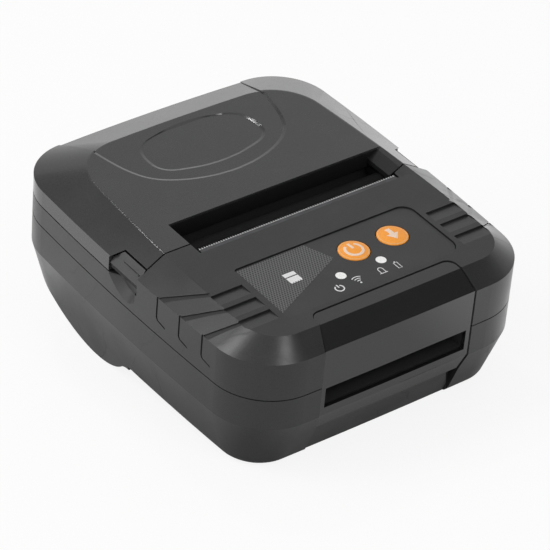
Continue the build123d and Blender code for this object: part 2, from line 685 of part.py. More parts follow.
# Opening for the paper in the cover's rear deck
def paper_exit_cut():
    ledge_rear = COVER_DECK_REAR_Y + TEAR_LEDGE_DEPTH
    shelf = prism_y(exit_points(TEAR_LEDGE_Z), COVER_DECK_REAR_Y, PLATEN_Y)
    throat = prism_y(exit_points(LID_SEAM_Z), ledge_rear + 0.1, PLATEN_Y)
    return shelf + throat


def tear_ledge():
    return box(RECESS_LEFT_X - 1, RECESS_RIGHT_FOOT_X + 3, COVER_DECK_REAR_Y - 2,
               COVER_DECK_REAR_Y + TEAR_LEDGE_DEPTH, TEAR_LEDGE_Z - TEAR_LEDGE_T, TEAR_LEDGE_Z)


def field_region(gap, z0, z1):
    x0 = FIELD_X[0] - gap
    x1 = FIELD_X[1] + gap
    y0 = FIELD_Y[0] - gap
    y1 = FIELD_Y[1] + gap
    face = make_face(Polyline((x0, y0), (x1, y0), (x1, y1), (x0, y1), close=True))
    face = fillet(face.vertices().sort_by(Axis.X)[:2], FIELD_CORNER_LEFT + gap)
    face = fillet(face.vertices().sort_by(Axis.X)[-2:], FIELD_CORNER_RIGHT + gap)
    return extrude(Pos(0, 0, z0) * face, amount=z1 - z0, dir=(0, 0, 1))


def control_membrane():
    floor = DECK_Z - FIELD_DEPTH
    field = field_region(0, floor, floor + FIELD_T)
    for x in (POWER_X, FEED_X):
        field -= rod_z(BEVEL_Z, DECK_Z + 1, x, BUTTON_Y, BUTTON_HOLE_R)
    for x in LIGHT_X:
        field -= rod_z(BEVEL_Z, DECK_Z + 1, x, LIGHT_Y, LIGHT_R)
    return field


# Push button: domed cap through the deck, flange below it, stem to its switch
def push_button(x):
    top = DECK_Z + BUTTON_RISE
    edge = top - (BUTTON_DOME_R - (BUTTON_DOME_R ** 2 - BUTTON_R ** 2) ** 0.5)
    dome = Pos(x, BUTTON_Y, top - BUTTON_DOME_R) * Sphere(BUTTON_DOME_R)
    below = rod_z(FLANGE_Z[0] - 5, edge, x, BUTTON_Y, BUTTON_R + 1)
    cap = rod_z(FLANGE_Z[0], top, x, BUTTON_Y, BUTTON_R) & (dome + below)
    flange = rod_z(*FLANGE_Z, x, BUTTON_Y, BUTTON_FLANGE_R)
    switch_top = KEY_BOARD_Z + BOARD_T + SWITCH_BODY_T + SWITCH_CAP_T
    stem = rod_z(switch_top + BUTTON_STROKE + 0.2, FLANGE_Z[0] + 0.3, x, BUTTON_Y, STEM_R)
    return cap + flange + stem


def light_pipe(x):
    board_top = KEY_BOARD_Z + BOARD_T
    top = DECK_Z - FIELD_DEPTH + FIELD_T
    pipe = rod_z(board_top + 1.2, top, x, LIGHT_Y, LIGHT_R)
    foot = rod_z(board_top + 1.2, board_top + 3.0, x, LIGHT_Y, LIGHT_R + 0.8)
    return pipe + foot


def key_board():
    board = box(*KEY_BOARD_X, *KEY_BOARD_Y, KEY_BOARD_Z, KEY_BOARD_Z + BOARD_T)
    for x, y in key_post_places():
        board -= rod_z(KEY_BOARD_Z - 1, KEY_BOARD_Z + BOARD_T + 1, x, y, KEY_SCREW_R)
    return board


def key_post_places():
    places = []
    for x in (KEY_BOARD_X[0] + KEY_POST_INSET, KEY_BOARD_X[1] - KEY_POST_INSET):
        places += [(x, y) for y in (KEY_BOARD_Y[0] + KEY_POST_INSET, KEY_BOARD_Y[1] - KEY_POST_INSET)]
    return places


def key_board_posts():
    posts = None
    for x, y in key_post_places():
        post = rod_z(KEY_BOARD_Z + BOARD_T, DECK_Z - 1.5, x, y, KEY_POST_R)
        post -= rod_z(KEY_BOARD_Z, DECK_Z - 2.6, x, y, KEY_SCREW_R)
        posts = post if posts is None else posts + post
    return posts


def key_switch(x):
    z = KEY_BOARD_Z + BOARD_T
    top = z + SWITCH_BODY_T
    body = box(x - SWITCH_HALF, x + SWITCH_HALF, BUTTON_Y - SWITCH_HALF, BUTTON_Y + SWITCH_HALF, z, top)
    return body + rod_z(top, top + SWITCH_CAP_T, x, BUTTON_Y, 1.4)


def status_led(x):
    z = KEY_BOARD_Z + BOARD_T
    return box(x - 1.6, x + 1.6, LIGHT_Y - 0.8, LIGHT_Y + 0.8, z, z + 0.8)


def main_board():
    return box(-MAIN_BOARD_HALF, MAIN_BOARD_HALF, *MAIN_BOARD_Y, MAIN_BOARD_Z, MAIN_BOARD_Z + MAIN_BOARD_T)


# Chips, connectors, two capacitors and a buzzer on the main board
def board_parts():
    z = MAIN_BOARD_Z + MAIN_BOARD_T
    front, rear = MAIN_BOARD_Y
    parts = [box(-18, -6, front + 8, front + 20, z, z + 1.4)]
    parts += [box(6, 15, front + 14, front + 21, z, z + 1.2)]
    parts += [box(-28, -22, rear - 13, rear - 1, z, z + 3.2)]
    parts += [box(14, 28, rear - 7.5, rear - 0.5, z, z + 4.0)]
    parts += [rod_z(z, z + 5.0, x, front + 6, 2.5) for x in (18, 25)]
    parts += [rod_z(z, z + 3.0, -27, front + 14, 3.2)]
    return parts


def board_screws():
    screws = []
    for x, y in key_post_places():
        shaft = rod_z(KEY_BOARD_Z, KEY_BOARD_Z + BOARD_T + 4, x, y, KEY_SCREW_R)
        head = rod_z(KEY_BOARD_Z - 0.9, KEY_BOARD_Z, x, y, KEY_SCREW_HEAD_R)
        screws.append(shaft + head)
    return screws


# Hinge: on each side one lid knuckle between two housing knuckles
def knuckle(x, owner):
    ring = rod_x(x - KNUCKLE_W / 2, x + KNUCKLE_W / 2, HINGE_Y, HINGE_Z, KNUCKLE_R)
    if owner == 0:
        web = prism_x([(LENGTH - 1.6, HINGE_Z - 5.5), (LENGTH - 1.6, HINGE_Z - 0.4), (HINGE_Y, HINGE_Z - 0.4),
                       (HINGE_Y + KNUCKLE_R * 0.9, HINGE_Z - 1.1)], x - KNUCKLE_W / 2, x + KNUCKLE_W / 2)
    else:
        web = prism_x([(LENGTH - 2.6, HINGE_Z + 5.5), (LENGTH - 2.6, HINGE_Z + 0.4), (HINGE_Y, HINGE_Z + 0.4),
                       (HINGE_Y + KNUCKLE_R * 0.9, HINGE_Z + 1.1)], x - KNUCKLE_W / 2, x + KNUCKLE_W / 2)
    return ring + web


def hinge_places():
    return [-HINGE_SPREAD, HINGE_SPREAD]


def knuckle_places(owner):
    if owner == 0:
        return [x + s * KNUCKLE_STEP for x in hinge_places() for s in (-1, 1)]
    return hinge_places()


def hinge_knuckles(owner):
    parts = None
    for x in knuckle_places(owner):
        one = knuckle(x, owner)
        parts = one if parts is None else parts + one
    return parts


def hinge_relief(owner, gap):
    cuts = None
    for x in knuckle_places(owner):
        half = KNUCKLE_W / 2 + gap
        cut = rod_x(x - half, x + half, HINGE_Y, HINGE_Z, KNUCKLE_R + gap)
        cuts = cut if cuts is None else cuts + cut
    return cuts


def hinge_bores(r=HINGE_PIN_R):
    cuts = None
    for x in hinge_places():
        cut = rod_x(x - KNUCKLE_STEP - 4, x + KNUCKLE_STEP + 4, HINGE_Y, HINGE_Z, r)
        cuts = cut if cuts is None else cuts + cut
    return cuts


def hinge_pins():
    half = KNUCKLE_STEP + KNUCKLE_W / 2
    return [rod_x(x - half, x + half, HINGE_Y, HINGE_Z, HINGE_PIN_R) for x in hinge_places()]


# A tongue-shaped field open at the back edge, and a closed one inside it
def grown(points, grow):
    middle = (points[0][1] + points[-1][1]) / 2
    moved = []
    for half, back in points:
        y = LENGTH - back
        if half > 0:
            moved.append((half + grow, y))
        else:
            moved.append((half, y + (grow if back < middle else -grow)))
    return moved


def tongue_face(grow):
    points = grown(TONGUE, grow)
    right = [(SUNK_X + half, y) for half, y in points]
    left = [(SUNK_X - half, y) for half, y in reversed(points[1:])]
    edge = Spline(*(left + right))
    edge += Line(right[-1], left[0])
    return make_face(edge)


def loop_face(grow):
    points = grown(LOOP, grow)
    right = Spline(*[(SUNK_X + half, y) for half, y in points], tangents=((1, 0), (-1, 0)))
    left = Spline(*[(SUNK_X - half, y) for half, y in reversed(points)], tangents=((-1, 0), (1, 0)))
    return make_face(right + left)


# Both fields, with their edges sloped on the flat of the deck
def sunk_fields():
    foot = LID_SEAM_Z + SEAM + 0.6
    floor = DECK_Z - TONGUE_DEPTH
    tongue = extrude(Pos(0, 0, foot) * tongue_face(0), amount=DECK_Z + 1 - foot, dir=(0, 0, 1))
    tongue -= upper_solid(TONGUE_DEPTH, LID_SEAM_Z - 5)
    slope = loft([Pos(0, 0, floor) * tongue_face(0), Pos(0, 0, DECK_Z) * tongue_face(FIELD_EDGE)], ruled=True)
    slope = slope & box(-WIDTH, WIDTH, 0, DECK_BACK_Y - 3, floor, DECK_Z)
    loop = loft([Pos(0, 0, floor - LOOP_DEPTH) * loop_face(0), Pos(0, 0, floor) * loop_face(FIELD_EDGE)],
                ruled=True)
    return tongue + slope + loop


# Lid shell with its recess walls round the paper exit
def lid_cover(outer, inner):
    shell = (outer - inner) & box(-WIDTH, WIDTH, LID_FRONT_Y, LENGTH + 5, LID_SEAM_Z + SEAM, 40)
    wall = RECESS_WALL
    collar_foot = CHEEK_TOP_Z + 2
    wide = [(RECESS_LEFT_X - wall, collar_foot), (RECESS_RIGHT_FOOT_X + wall, collar_foot),
            (RECESS_RIGHT_FOOT_X + wall, RECESS_FOOT_Z - 0.4), (RECESS_RIGHT_X + wall, DECK_Z - 0.5),
            (RECESS_LEFT_X - wall, DECK_Z - 0.5)]
    collar = prism_y(wide, LID_FRONT_Y, RECESS_BACK_Y + wall)
    back_wall = box(RECESS_LEFT_X - wall, RECESS_RIGHT_FOOT_X + wall, RECESS_BACK_Y, RECESS_BACK_Y + wall,
                    CHEEK_TOP_Z + GAP, DECK_Z - 0.5)
    shell += (collar & outer) + back_wall
    shell -= prism_y(exit_points(RECESS_FLOOR_Z), LID_FRONT_Y - 1, RECESS_BACK_Y)
    shell -= sunk_fields()
    for side in (-1, 1):
        shell -= lever_window(side)
        shell += lever_hangers(side)
    shell += hinge_knuckles(1)
    shell -= hinge_relief(0, GAP)
    shell -= hinge_bores(HINGE_PIN_R + RUN_FIT)
    return shell


# Carrier under the lid that holds the platen in two cheeks and guides the paper
def lid_inner_frame():
    top = DECK_Z - LID_WALL - 0.1
    x0 = CHEEK_LEFT_X[0]
    x1 = CHEEK_RIGHT_X[1]
    y0 = RECESS_BACK_Y + RECESS_WALL + GAP
    guide_y = PLATEN_Y + PLATEN_R + 1.5
    frame = box(x0, x1, y0, BELLY_Y + 15.5, top - 1.6, top)
    frame += prism_x([(y0, top), (y0, PLATEN_Z + 1.5), (guide_y, PLATEN_Z - 2.5), (guide_y, PLATEN_Z - 5.3),
                      (guide_y + 1.6, PLATEN_Z - 5.3), (guide_y + 6.4, top)],
                     CHEEK_LEFT_X[1] - 0.2, CHEEK_RIGHT_X[0] + 0.2)
    for cheek in (CHEEK_LEFT_X, CHEEK_RIGHT_X):
        frame += prism_x([(PLATEN_Y - 4.6, CHEEK_TOP_Z), (PLATEN_Y - 4.6, PLATEN_Z - 4.1),
                          (PLATEN_Y - 1.6, PLATEN_Z - 5.9), (PLATEN_Y + 8.1, PLATEN_Z - 5.9),
                          (PLATEN_Y + 15.9, top), (y0, top), (y0, CHEEK_TOP_Z)], *cheek)
    for y in (BELLY_Y - 4.5, BELLY_Y + 11.5):
        frame += box(x0, x1, y, y + 1.4, top - 4.0, top - 1.0)
    frame -= rod_x(x0 - 1, x1 + 1, PLATEN_Y, PLATEN_Z, BUSHING_NECK_R)
    return frame


def platen_shaft():
    return rod_x(GEAR_X[0] - 0.4, CHASSIS_RIGHT_X[1], PLATEN_Y, PLATEN_Z, SHAFT_R)


def platen_sleeve():
    sleeve = rod_x(CHEEK_LEFT_X[1] + 1.0, CHEEK_RIGHT_X[0] - 1.0, PLATEN_Y, PLATEN_Z, PLATEN_R)
    return sleeve - rod_x(*CHASSIS_SPAN, PLATEN_Y, PLATEN_Z, SHAFT_R)


def platen_bushings():
    left = rod_x(CHASSIS_LEFT_X[0], CHEEK_LEFT_X[0], PLATEN_Y, PLATEN_Z, BUSHING_R)
    left += rod_x(CHEEK_LEFT_X[0], CHEEK_LEFT_X[1], PLATEN_Y, PLATEN_Z, BUSHING_NECK_R)
    right = rod_x(CHEEK_RIGHT_X[1], CHASSIS_RIGHT_X[1], PLATEN_Y, PLATEN_Z, BUSHING_R)
    right += rod_x(CHEEK_RIGHT_X[0], CHEEK_RIGHT_X[1], PLATEN_Y, PLATEN_Z, BUSHING_NECK_R)
    bore = rod_x(*CHASSIS_SPAN, PLATEN_Y, PLATEN_Z, SHAFT_R + RUN_FIT)
    return [left - bore, right - bore]


# Gear blank with involute flanks, three points to a flank
def spur_gear(teeth, tooth_angle, y, z, bore):
    pitch_r = GEAR_MODULE * teeth / 2
    base_r = pitch_r * cos(radians(20))
    tip_r = pitch_r + GEAR_MODULE * 0.95
    root_r = pitch_r - GEAR_MODULE * 1.25

    def spread(r):
        def inv(radius):
            ratio = max(-1.0, min(1.0, base_r / radius))
            pressure = atan2((1 - ratio ** 2) ** 0.5, ratio)
            return tan(pressure) - pressure
        half = pi / (2 * teeth) - GEAR_PLAY / (2 * pitch_r)
        return half + inv(pitch_r) - inv(max(r, base_r))

    points = []
    for i in range(teeth):
        mid = radians(tooth_angle) + 2 * pi * i / teeth
        flank = [root_r, max(base_r, root_r + 0.1), pitch_r, tip_r]
        for r in flank:
            a = mid - spread(r)
            points.append((r * cos(a), r * sin(a)))
        for r in reversed(flank):
            a = mid + spread(r)
            points.append((r * cos(a), r * sin(a)))
    moved = [(y + py, z + pz) for py, pz in points]
    return prism_x(moved, *GEAR_X) - rod_x(GEAR_X[0] - 1, GEAR_X[1] + 1, y, z, bore)


IDLER_DISTANCE = GEAR_MODULE * (PLATEN_TEETH + IDLER_TEETH) / 2 + 0.05
MOTOR_DISTANCE = GEAR_MODULE * (IDLER_TEETH + MOTOR_TEETH) / 2 + 0.05
IDLER_Y = PLATEN_Y + IDLER_DISTANCE * cos(radians(IDLER_ANGLE))
IDLER_Z = PLATEN_Z + IDLER_DISTANCE * sin(radians(IDLER_ANGLE))
MOTOR_Y = IDLER_Y + MOTOR_DISTANCE * cos(radians(MOTOR_ANGLE))
MOTOR_Z = IDLER_Z + MOTOR_DISTANCE * sin(radians(MOTOR_ANGLE))

# A tooth of one gear points at a gap of the next
PLATEN_TOOTH = IDLER_ANGLE
IDLER_TOOTH = IDLER_ANGLE + 180 + 180 / IDLER_TEETH
IDLER_PITCH = 360 / IDLER_TEETH
MOTOR_OFFSET = (MOTOR_ANGLE - IDLER_TOOTH) / IDLER_PITCH
MOTOR_TOOTH = MOTOR_ANGLE + 180 + (MOTOR_OFFSET - round(MOTOR_OFFSET)) * 360 / MOTOR_TEETH + 180 / MOTOR_TEETH


def platen_gear():
    hub = rod_x(GEAR_X[1], CHASSIS_LEFT_X[0] - GAP, PLATEN_Y, PLATEN_Z, SHAFT_R + 1.2)
    hub -= rod_x(*CHASSIS_SPAN, PLATEN_Y, PLATEN_Z, SHAFT_R)
    return spur_gear(PLATEN_TEETH, PLATEN_TOOTH, PLATEN_Y, PLATEN_Z, SHAFT_R) + hub


def idler_gear():
    return spur_gear(IDLER_TEETH, IDLER_TOOTH, IDLER_Y, IDLER_Z, IDLER_AXLE_R + RUN_FIT)


def idler_axle():
    axle = rod_x(GEAR_X[0] - 0.9, CHASSIS_LEFT_X[0], IDLER_Y, IDLER_Z, IDLER_AXLE_R)
    head = rod_x(GEAR_X[0] - 0.9, GEAR_X[0] - 0.3, IDLER_Y, IDLER_Z, IDLER_AXLE_R + 1.2)
    collar = rod_x(GEAR_X[1] + 0.3, CHASSIS_LEFT_X[0], IDLER_Y, IDLER_Z, IDLER_AXLE_R + 1.2)
    return axle + head + collar


def motor_pinion():
    shaft = rod_x(GEAR_X[0], CHASSIS_LEFT_X[1] + MOTOR_LENGTH - 1, MOTOR_Y, MOTOR_Z, MOTOR_SHAFT_R)
    gear = spur_gear(MOTOR_TEETH, MOTOR_TOOTH, MOTOR_Y, MOTOR_Z, MOTOR_SHAFT_R * 0.5)
    return gear + shaft


def stepper_motor():
    x0 = CHASSIS_LEFT_X[1]
    can = rod_x(x0 + 0.8, x0 + MOTOR_LENGTH, MOTOR_Y, MOTOR_Z, MOTOR_R)
    flange = rod_x(x0, x0 + 0.8, MOTOR_Y, MOTOR_Z, MOTOR_R)
    socket = box(x0 + 4, x0 + 11, MOTOR_Y - MOTOR_R - 0.9, MOTOR_Y, MOTOR_Z - 4, MOTOR_Z + 4)
    body = can + flange + socket
    return body - rod_x(x0 - 1, x0 + MOTOR_LENGTH - 0.6, MOTOR_Y, MOTOR_Z, MOTOR_SHAFT_R + RUN_FIT)


# Chassis: two side plates with open slots for the platen bushings, and a wall behind the head
def chassis_side(x0, x1):
    low = BAY_TOP_Z + BAY_WALL
    front = HEAD_WALL_Y[0] - 4.0
    rear = PLATEN_Y + 6.9
    plate = prism_x([(front, PLATEN_Z - 12.5), (front, low), (CHASSIS_FOOT_Y[1], low), (rear, PLATEN_Z - 7.5),
                     (rear, PLATEN_Z - 1.5), (PLATEN_Y, PLATEN_Z - 1.5), (PLATEN_Y - 4.9, PLATEN_Z + 4.1),
                     (HEAD_WALL_Y[0], PLATEN_Z + 5.5)], x0, x1)
    r = BUSHING_R + GAP
    rise = 12.0
    run = rise * tan(radians(BUSHING_SLOT_LEAN))
    slot = rod_x(x0 - 1, x1 + 1, PLATEN_Y, PLATEN_Z, r)
    slot += prism_x([(PLATEN_Y - r, PLATEN_Z), (PLATEN_Y + r, PLATEN_Z),
                     (PLATEN_Y + r + run, PLATEN_Z + rise), (PLATEN_Y - r, PLATEN_Z + rise)],
                    x0 - 1, x1 + 1)
    return plate - slot


def head_chassis():
    foot_z = BAY_TOP_Z + BAY_WALL
    motor_hole = rod_x(CHASSIS_LEFT_X[0] - 1, CHASSIS_LEFT_X[1] + 1, MOTOR_Y, MOTOR_Z, MOTOR_SHAFT_R + 0.5)
    frame = chassis_side(*CHASSIS_LEFT_X) - motor_hole
    frame += chassis_side(*CHASSIS_RIGHT_X)
    frame += box(CHASSIS_LEFT_X[0], CHASSIS_RIGHT_X[1], *HEAD_WALL_Y, PLATEN_Z - 6.5, PLATEN_Z + 5.5)
    frame += box(CHASSIS_LEFT_X[0], CHASSIS_RIGHT_X[1], *CHASSIS_FOOT_Y, foot_z, foot_z + CHASSIS_FOOT_T)
    frame -= rod_x(*CHASSIS_SPAN, HEAD_PIVOT_Y, HEAD_PIVOT_Z, HEAD_PIVOT_R + RUN_FIT)
    for x in CHASSIS_SCREW_X:
        frame -= rod_z(foot_z - 1, foot_z + CHASSIS_FOOT_T + 1, x, CHASSIS_SCREW_Y, SCREW_R)
    return frame


def head_screws():
    screws = []
    for x in CHASSIS_SCREW_X:
        low = BAY_TOP_Z + BAY_WALL
        top = low + CHASSIS_FOOT_T
        shaft = rod_z(low, top, x, CHASSIS_SCREW_Y, SCREW_R)
        screws.append(shaft + rod_z(top, top + 1.0, x, CHASSIS_SCREW_Y, SCREW_HEAD_R))
    return screws


def thermal_head():
    x0, x1 = HEAD_X
    low, high = HEAD_Z
    sink = box(x0, x1, *SINK_Y, low, high)
    sink -= box(x0 - 1, x1 + 1, SINK_Y[0] - 1, SINK_Y[0] + 2.2, high - 2.8, high + 1)
    ceramic = box(x0 + 1.4, x1 - 1.4, SINK_Y[1], SINK_Y[1] + CERAMIC_T, low + 1, high)
    pins = rod_x(CHASSIS_LEFT_X[0], x0 + 2, HEAD_PIVOT_Y, HEAD_PIVOT_Z, HEAD_PIVOT_R)
    pins += rod_x(x1 - 2, CHASSIS_RIGHT_X[1], HEAD_PIVOT_Y, HEAD_PIVOT_Z, HEAD_PIVOT_R)
    return sink + ceramic + pins


def spring_places():
    return [PAPER_X - SPRING_SPREAD, PAPER_X, PAPER_X + SPRING_SPREAD]


def head_spring(x):
    y0 = HEAD_WALL_Y[1]
    length = SINK_Y[0] - GAP - y0
    pitch = (length - 2 * SPRING_WIRE_R) / SPRING_TURNS
    path = Helix(pitch=pitch, height=pitch * SPRING_TURNS, radius=SPRING_R)
    start = path @ 0
    section = Plane(start, z_dir=path % 0) * Circle(SPRING_WIRE_R)
    coil = sweep(section, path=path)
    return Pos(x, y0 + SPRING_WIRE_R, SPRING_Z) * Rot(-90, 0, 0) * coil


def tear_bar():
    pitch = (TEAR_X[1] - TEAR_X[0]) / TEAR_TEETH
    points = [(TEAR_X[0], TEAR_Y[0]), (TEAR_X[1], TEAR_Y[0]), (TEAR_X[1], TEAR_Y[1])]
    for i in range(TEAR_TEETH):
        x = TEAR_X[1] - i * pitch
        points.append((x - pitch / 2, TEAR_Y[1] + TOOTH_DEPTH))
        points.append((x - pitch, TEAR_Y[1]))
    return prism_z(points, TEAR_LEDGE_Z, TEAR_LEDGE_Z + TEAR_T)


def paper_bucket():
    half = PAPER_WIDTH / 2 + ROLL_SIDE_PLAY
    x0 = PAPER_X - half
    x1 = PAPER_X + half
    outer_r = BUCKET_R + BUCKET_WALL
    w = BUCKET_SIDE_WALL

    def solid(r, a, b, top):
        drum = rod_x(a, b, BELLY_Y, BELLY_Z, r)
        drum += box(a, b, BELLY_Y - r, BELLY_Y + r, BELLY_Z, top)
        return drum

    bucket = solid(outer_r, x0 - w, x1 + w, BUCKET_TOP_Z)
    bucket -= solid(BUCKET_R, x0, x1, BUCKET_TOP_Z + 1)
    bucket -= box(x0 - w - 1, x1 + w + 1, BELLY_Y - outer_r - 1, BAY_REAR_Y + BAY_WALL,
                  -40, BAY_TOP_Z + BAY_WALL)
    return bucket


def paper_sensor():
    x0 = PAPER_X - 5
    wall_y = BELLY_Y - BUCKET_R - BUCKET_WALL
    return box(x0, x0 + 10, wall_y - 1.8, wall_y, -3.0, 2.0)


def battery_pack(outer):
    body = box(-PACK_HALF, PACK_HALF, -1, PACK_REAR_Y, PACK_BOTTOM_Z, PACK_TOP_Z)
    front = extrude(wall_outline(TAPER_Z, PACK_RECESS), amount=1, dir=(0, 0, 1))
    front += loft([wall_outline(TAPER_Z, PACK_RECESS), taper_outline(PACK_RECESS)], ruled=True)
    body = body & front
    for side in (-1, 1):
        groove = box(PACK_HALF - RAIL_DEPTH - 0.1, PACK_HALF + 1, RAIL_FRONT_Y - GAP, PACK_REAR_Y + 1,
                     RAIL_Z[0] - GAP, RAIL_Z[1] + GAP)
        body -= mirrored(groove, side)
    body -= notch_prism(0.0, 0, LATCH_Y[0])
    pocket_x = LATCH_RIGHT_X - LATCH_STEM_LENGTH - LATCH_STROKE - GAP
    body -= box(pocket_x, PACK_HALF + 1, LATCH_Y[0] - GAP, LATCH_Y[1] + GAP,
                NOTCH[2][1] + 1.0, PACK_TOP_Z + 1)
    return body


def notch_prism(shrink, y0, y1):
    (x0, z0), (x1, z1), (x2, z2) = NOTCH
    return prism_y([(x0 + shrink, z0 - shrink), (x1 - shrink, z1 - 2.4 * shrink),
                    (x2 - shrink, z2 + 3 * shrink)],
                   y0, y1)


def battery_latch():
    tongue = notch_prism(0.5, *LATCH_Y)
    tongue = tongue & box(0, LATCH_RIGHT_X, *LATCH_Y, NOTCH[2][1], NOTCH[0][1])
    stem = box(LATCH_RIGHT_X - LATCH_STEM_LENGTH, LATCH_RIGHT_X, *LATCH_Y, *LATCH_STEM_Z)
    return tongue + stem


def battery_contacts():
    middle = (PACK_TOP_Z + PACK_BOTTOM_Z) / 2
    half = CONTACT_HEIGHT / 2
    return box(-CONTACT_HALF, CONTACT_HALF, PACK_REAR_Y + GAP, BAY_REAR_Y, middle - half, middle + half)


# Release lever: tab flush with the lid's bevel and skirt, a rod under it, an arm inside the wall
def lever_face_points(inset):
    x = WIDTH / 2
    run = SIDE_BEVEL / (DECK_Z - BEVEL_Z)
    top_x = x - (LEVER_TOP_Z - BEVEL_Z) * run - 0.2
    z = LEVER_FACET_Z
    profile = [(top_x, LEVER_TOP_Z - inset * 0.6), (x - 0.4, z), (x - 1.0, z - 0.4), (x - 0.45, z - 0.7),
               (x - 1.05, z - 1.1), (x - 0.5, z - 1.4), (x - 1.2, LEVER_BOTTOM_Z)]
    return [(px - inset, pz) for px, pz in profile]


# The slanted line that ends the tab at the rear, moved back and up by a clearance
def lever_corner(clearance):
    y = LEVER_Y[1] + clearance
    return (y - LEVER_CORNER, LEVER_TOP_Z + 1 + clearance), (y + 1, LEVER_FACET_Z + 0.6 + clearance)


def release_lever(side):
    x = WIDTH / 2
    y0, y1 = LEVER_Y
    face = lever_face_points(0) + list(reversed(lever_face_points(LEVER_T)))
    tab = prism_y(face, y0 + LEVER_GAP, y1 - LEVER_GAP)
    high, low = lever_corner(0)
    tab -= prism_x([high, (low[0], high[1]), low], x - 20, x + 2)
    rod = rod_y(y0 + 1.5, ARM_Y[1], LEVER_X, LEVER_Z, LEVER_ROD_R)
    web = box(LEVER_X - 0.5, x - 1.8, y0 + 1.5, y1 - 5.5, LEVER_Z - 0.9, LEVER_Z + 0.7)
    arm = box(*ARM_X, *ARM_Y, ARM_FOOT_Z, LEVER_Z)
    root = ARM_X[0] + 0.2
    tip = ARM_X[0] - NOSE_REACH
    nose = prism_y([(root, ARM_FOOT_Z), (root, ARM_FOOT_Z + 2.2),
                    (tip, ARM_FOOT_Z + 2.0), (tip, ARM_FOOT_Z + 1.2)],
                   *ARM_Y)
    lever = tab + rod + web + arm + nose
    lever -= rod_y(y0, ARM_Y[1] + 1, LEVER_X, LEVER_Z, LEVER_PIN_R + RUN_FIT)
    return mirrored(lever, side)


def lever_pin(side):
    return mirrored(rod_y(LEVER_Y[0] + 0.7, ARM_Y[1] + 2.2, LEVER_X, LEVER_Z, LEVER_PIN_R), side)


def lever_window(side):
    x = WIDTH / 2
    run = SIDE_BEVEL / (DECK_Z - BEVEL_Z)
    top_z = LEVER_TOP_Z + LEVER_GAP * 0.9
    top_x = x - (top_z - BEVEL_Z) * run
    cut = prism_y([(top_x - 3.4, LID_SEAM_Z - 1), (x + 2, LID_SEAM_Z - 1), (x + 2, top_z + 0.8),
                   (top_x + 1.0, top_z + 0.8), (top_x - 0.6, top_z - 0.2), (top_x - 3.4, LEVER_Z + 1.6)],
                  LID_FRONT_Y - 1, LEVER_Y[1])
    high, low = lever_corner(LEVER_GAP)
    corner = prism_x([high, (high[0], DECK_Z), (low[0], DECK_Z), low], x - 20, x + 2)
    return mirrored(cut - corner, side)


# Lugs under the bevel that carry each lever's pin
def lever_hangers(side):
    hangers = box(LEVER_X - 1.6, LEVER_X + 1.3, ARM_Y[1] + GAP, ARM_Y[1] + 2.2, LEVER_Z - 1.6, LEVER_Z + 2.4)
    hangers += box(LEVER_X - 1.6, LEVER_X + 1.0, LEVER_Y[1] + 0.2, LEVER_Y[1] + 1.6,
                   LEVER_Z - 1.6, LEVER_Z + 2.4)
    hangers -= rod_y(LEVER_Y[1], LEVER_Y[1] + 2, LEVER_X, LEVER_Z, LEVER_ROD_R + RUN_FIT)
    hangers -= rod_y(ARM_Y[1], ARM_Y[1] + 3, LEVER_X, LEVER_Z, LEVER_PIN_R)
    return mirrored(hangers, side)


def lever_catch(side):
    tip = ARM_X[0] - NOSE_REACH - GAP
    bar = box(tip - 1.6, tip, ARM_Y[0] - 1, ARM_Y[1] + 3.2, ARM_FOOT_Z + 2.6, ARM_FOOT_Z + 5.0)
    bridge = box(tip - 1.6, WIDTH / 2 - 1.0, ARM_Y[1] + 1.4, ARM_Y[1] + 3.2, SEAM + 0.3, ARM_FOOT_Z + 5.0)
    return mirrored(bar + bridge, side)


def housing_screws():
    screws = []
    for x, y in screw_columns():
        foot = column_foot(y) + SCREW_SEAT_RISE
        top = DECK_Z - 4.5 if y < BELLY_Y else LID_SEAM_Z - 3.0
        shaft = rod_z(foot, top, x, y, SCREW_R)
        head = rod_z(foot - SCREW_HEAD_T, foot, x, y, SCREW_HEAD_R)
        head -= box(x - 1.4, x + 1.4, y - 0.25, y + 0.25, foot - SCREW_HEAD_T - 1, foot - SCREW_HEAD_T + 0.6)
        screws.append(shaft + head)
    return screws


# Resting attitude: tangent plane under the belly and the rounded front bottom edge
FRONT_SLOPE = atan2(FRONT_TAPER, 1)
EDGE_Z = BASE_Z + BOTTOM_EDGE_R
EDGE_Y = FRONT_TAPER * (TAPER_Z - EDGE_Z) + BOTTOM_EDGE_R / cos(FRONT_SLOPE)
SPAN = hypot(BELLY_Y - EDGE_Y, EDGE_Z - BELLY_Z)
PITCH = asin((BELLY_R - BOTTOM_EDGE_R) / SPAN) - atan2(BELLY_Z - EDGE_Z, BELLY_Y - EDGE_Y)
REST_LIFT = BELLY_R - (BELLY_Y * sin(PITCH) + BELLY_Z * cos(PITCH))
FRONT_REACH = -BEVEL_Z * sin(PITCH)
BACK_REACH = HINGE_Y * cos(PITCH) - HINGE_Z * sin(PITCH) + KNUCKLE_R
CENTRE_Y = (FRONT_REACH + BACK_REACH) / 2


def placed(shape):
    return Pos(0, -CENTRE_Y, REST_LIFT) * Rot(degrees(PITCH), 0, 0) * shape


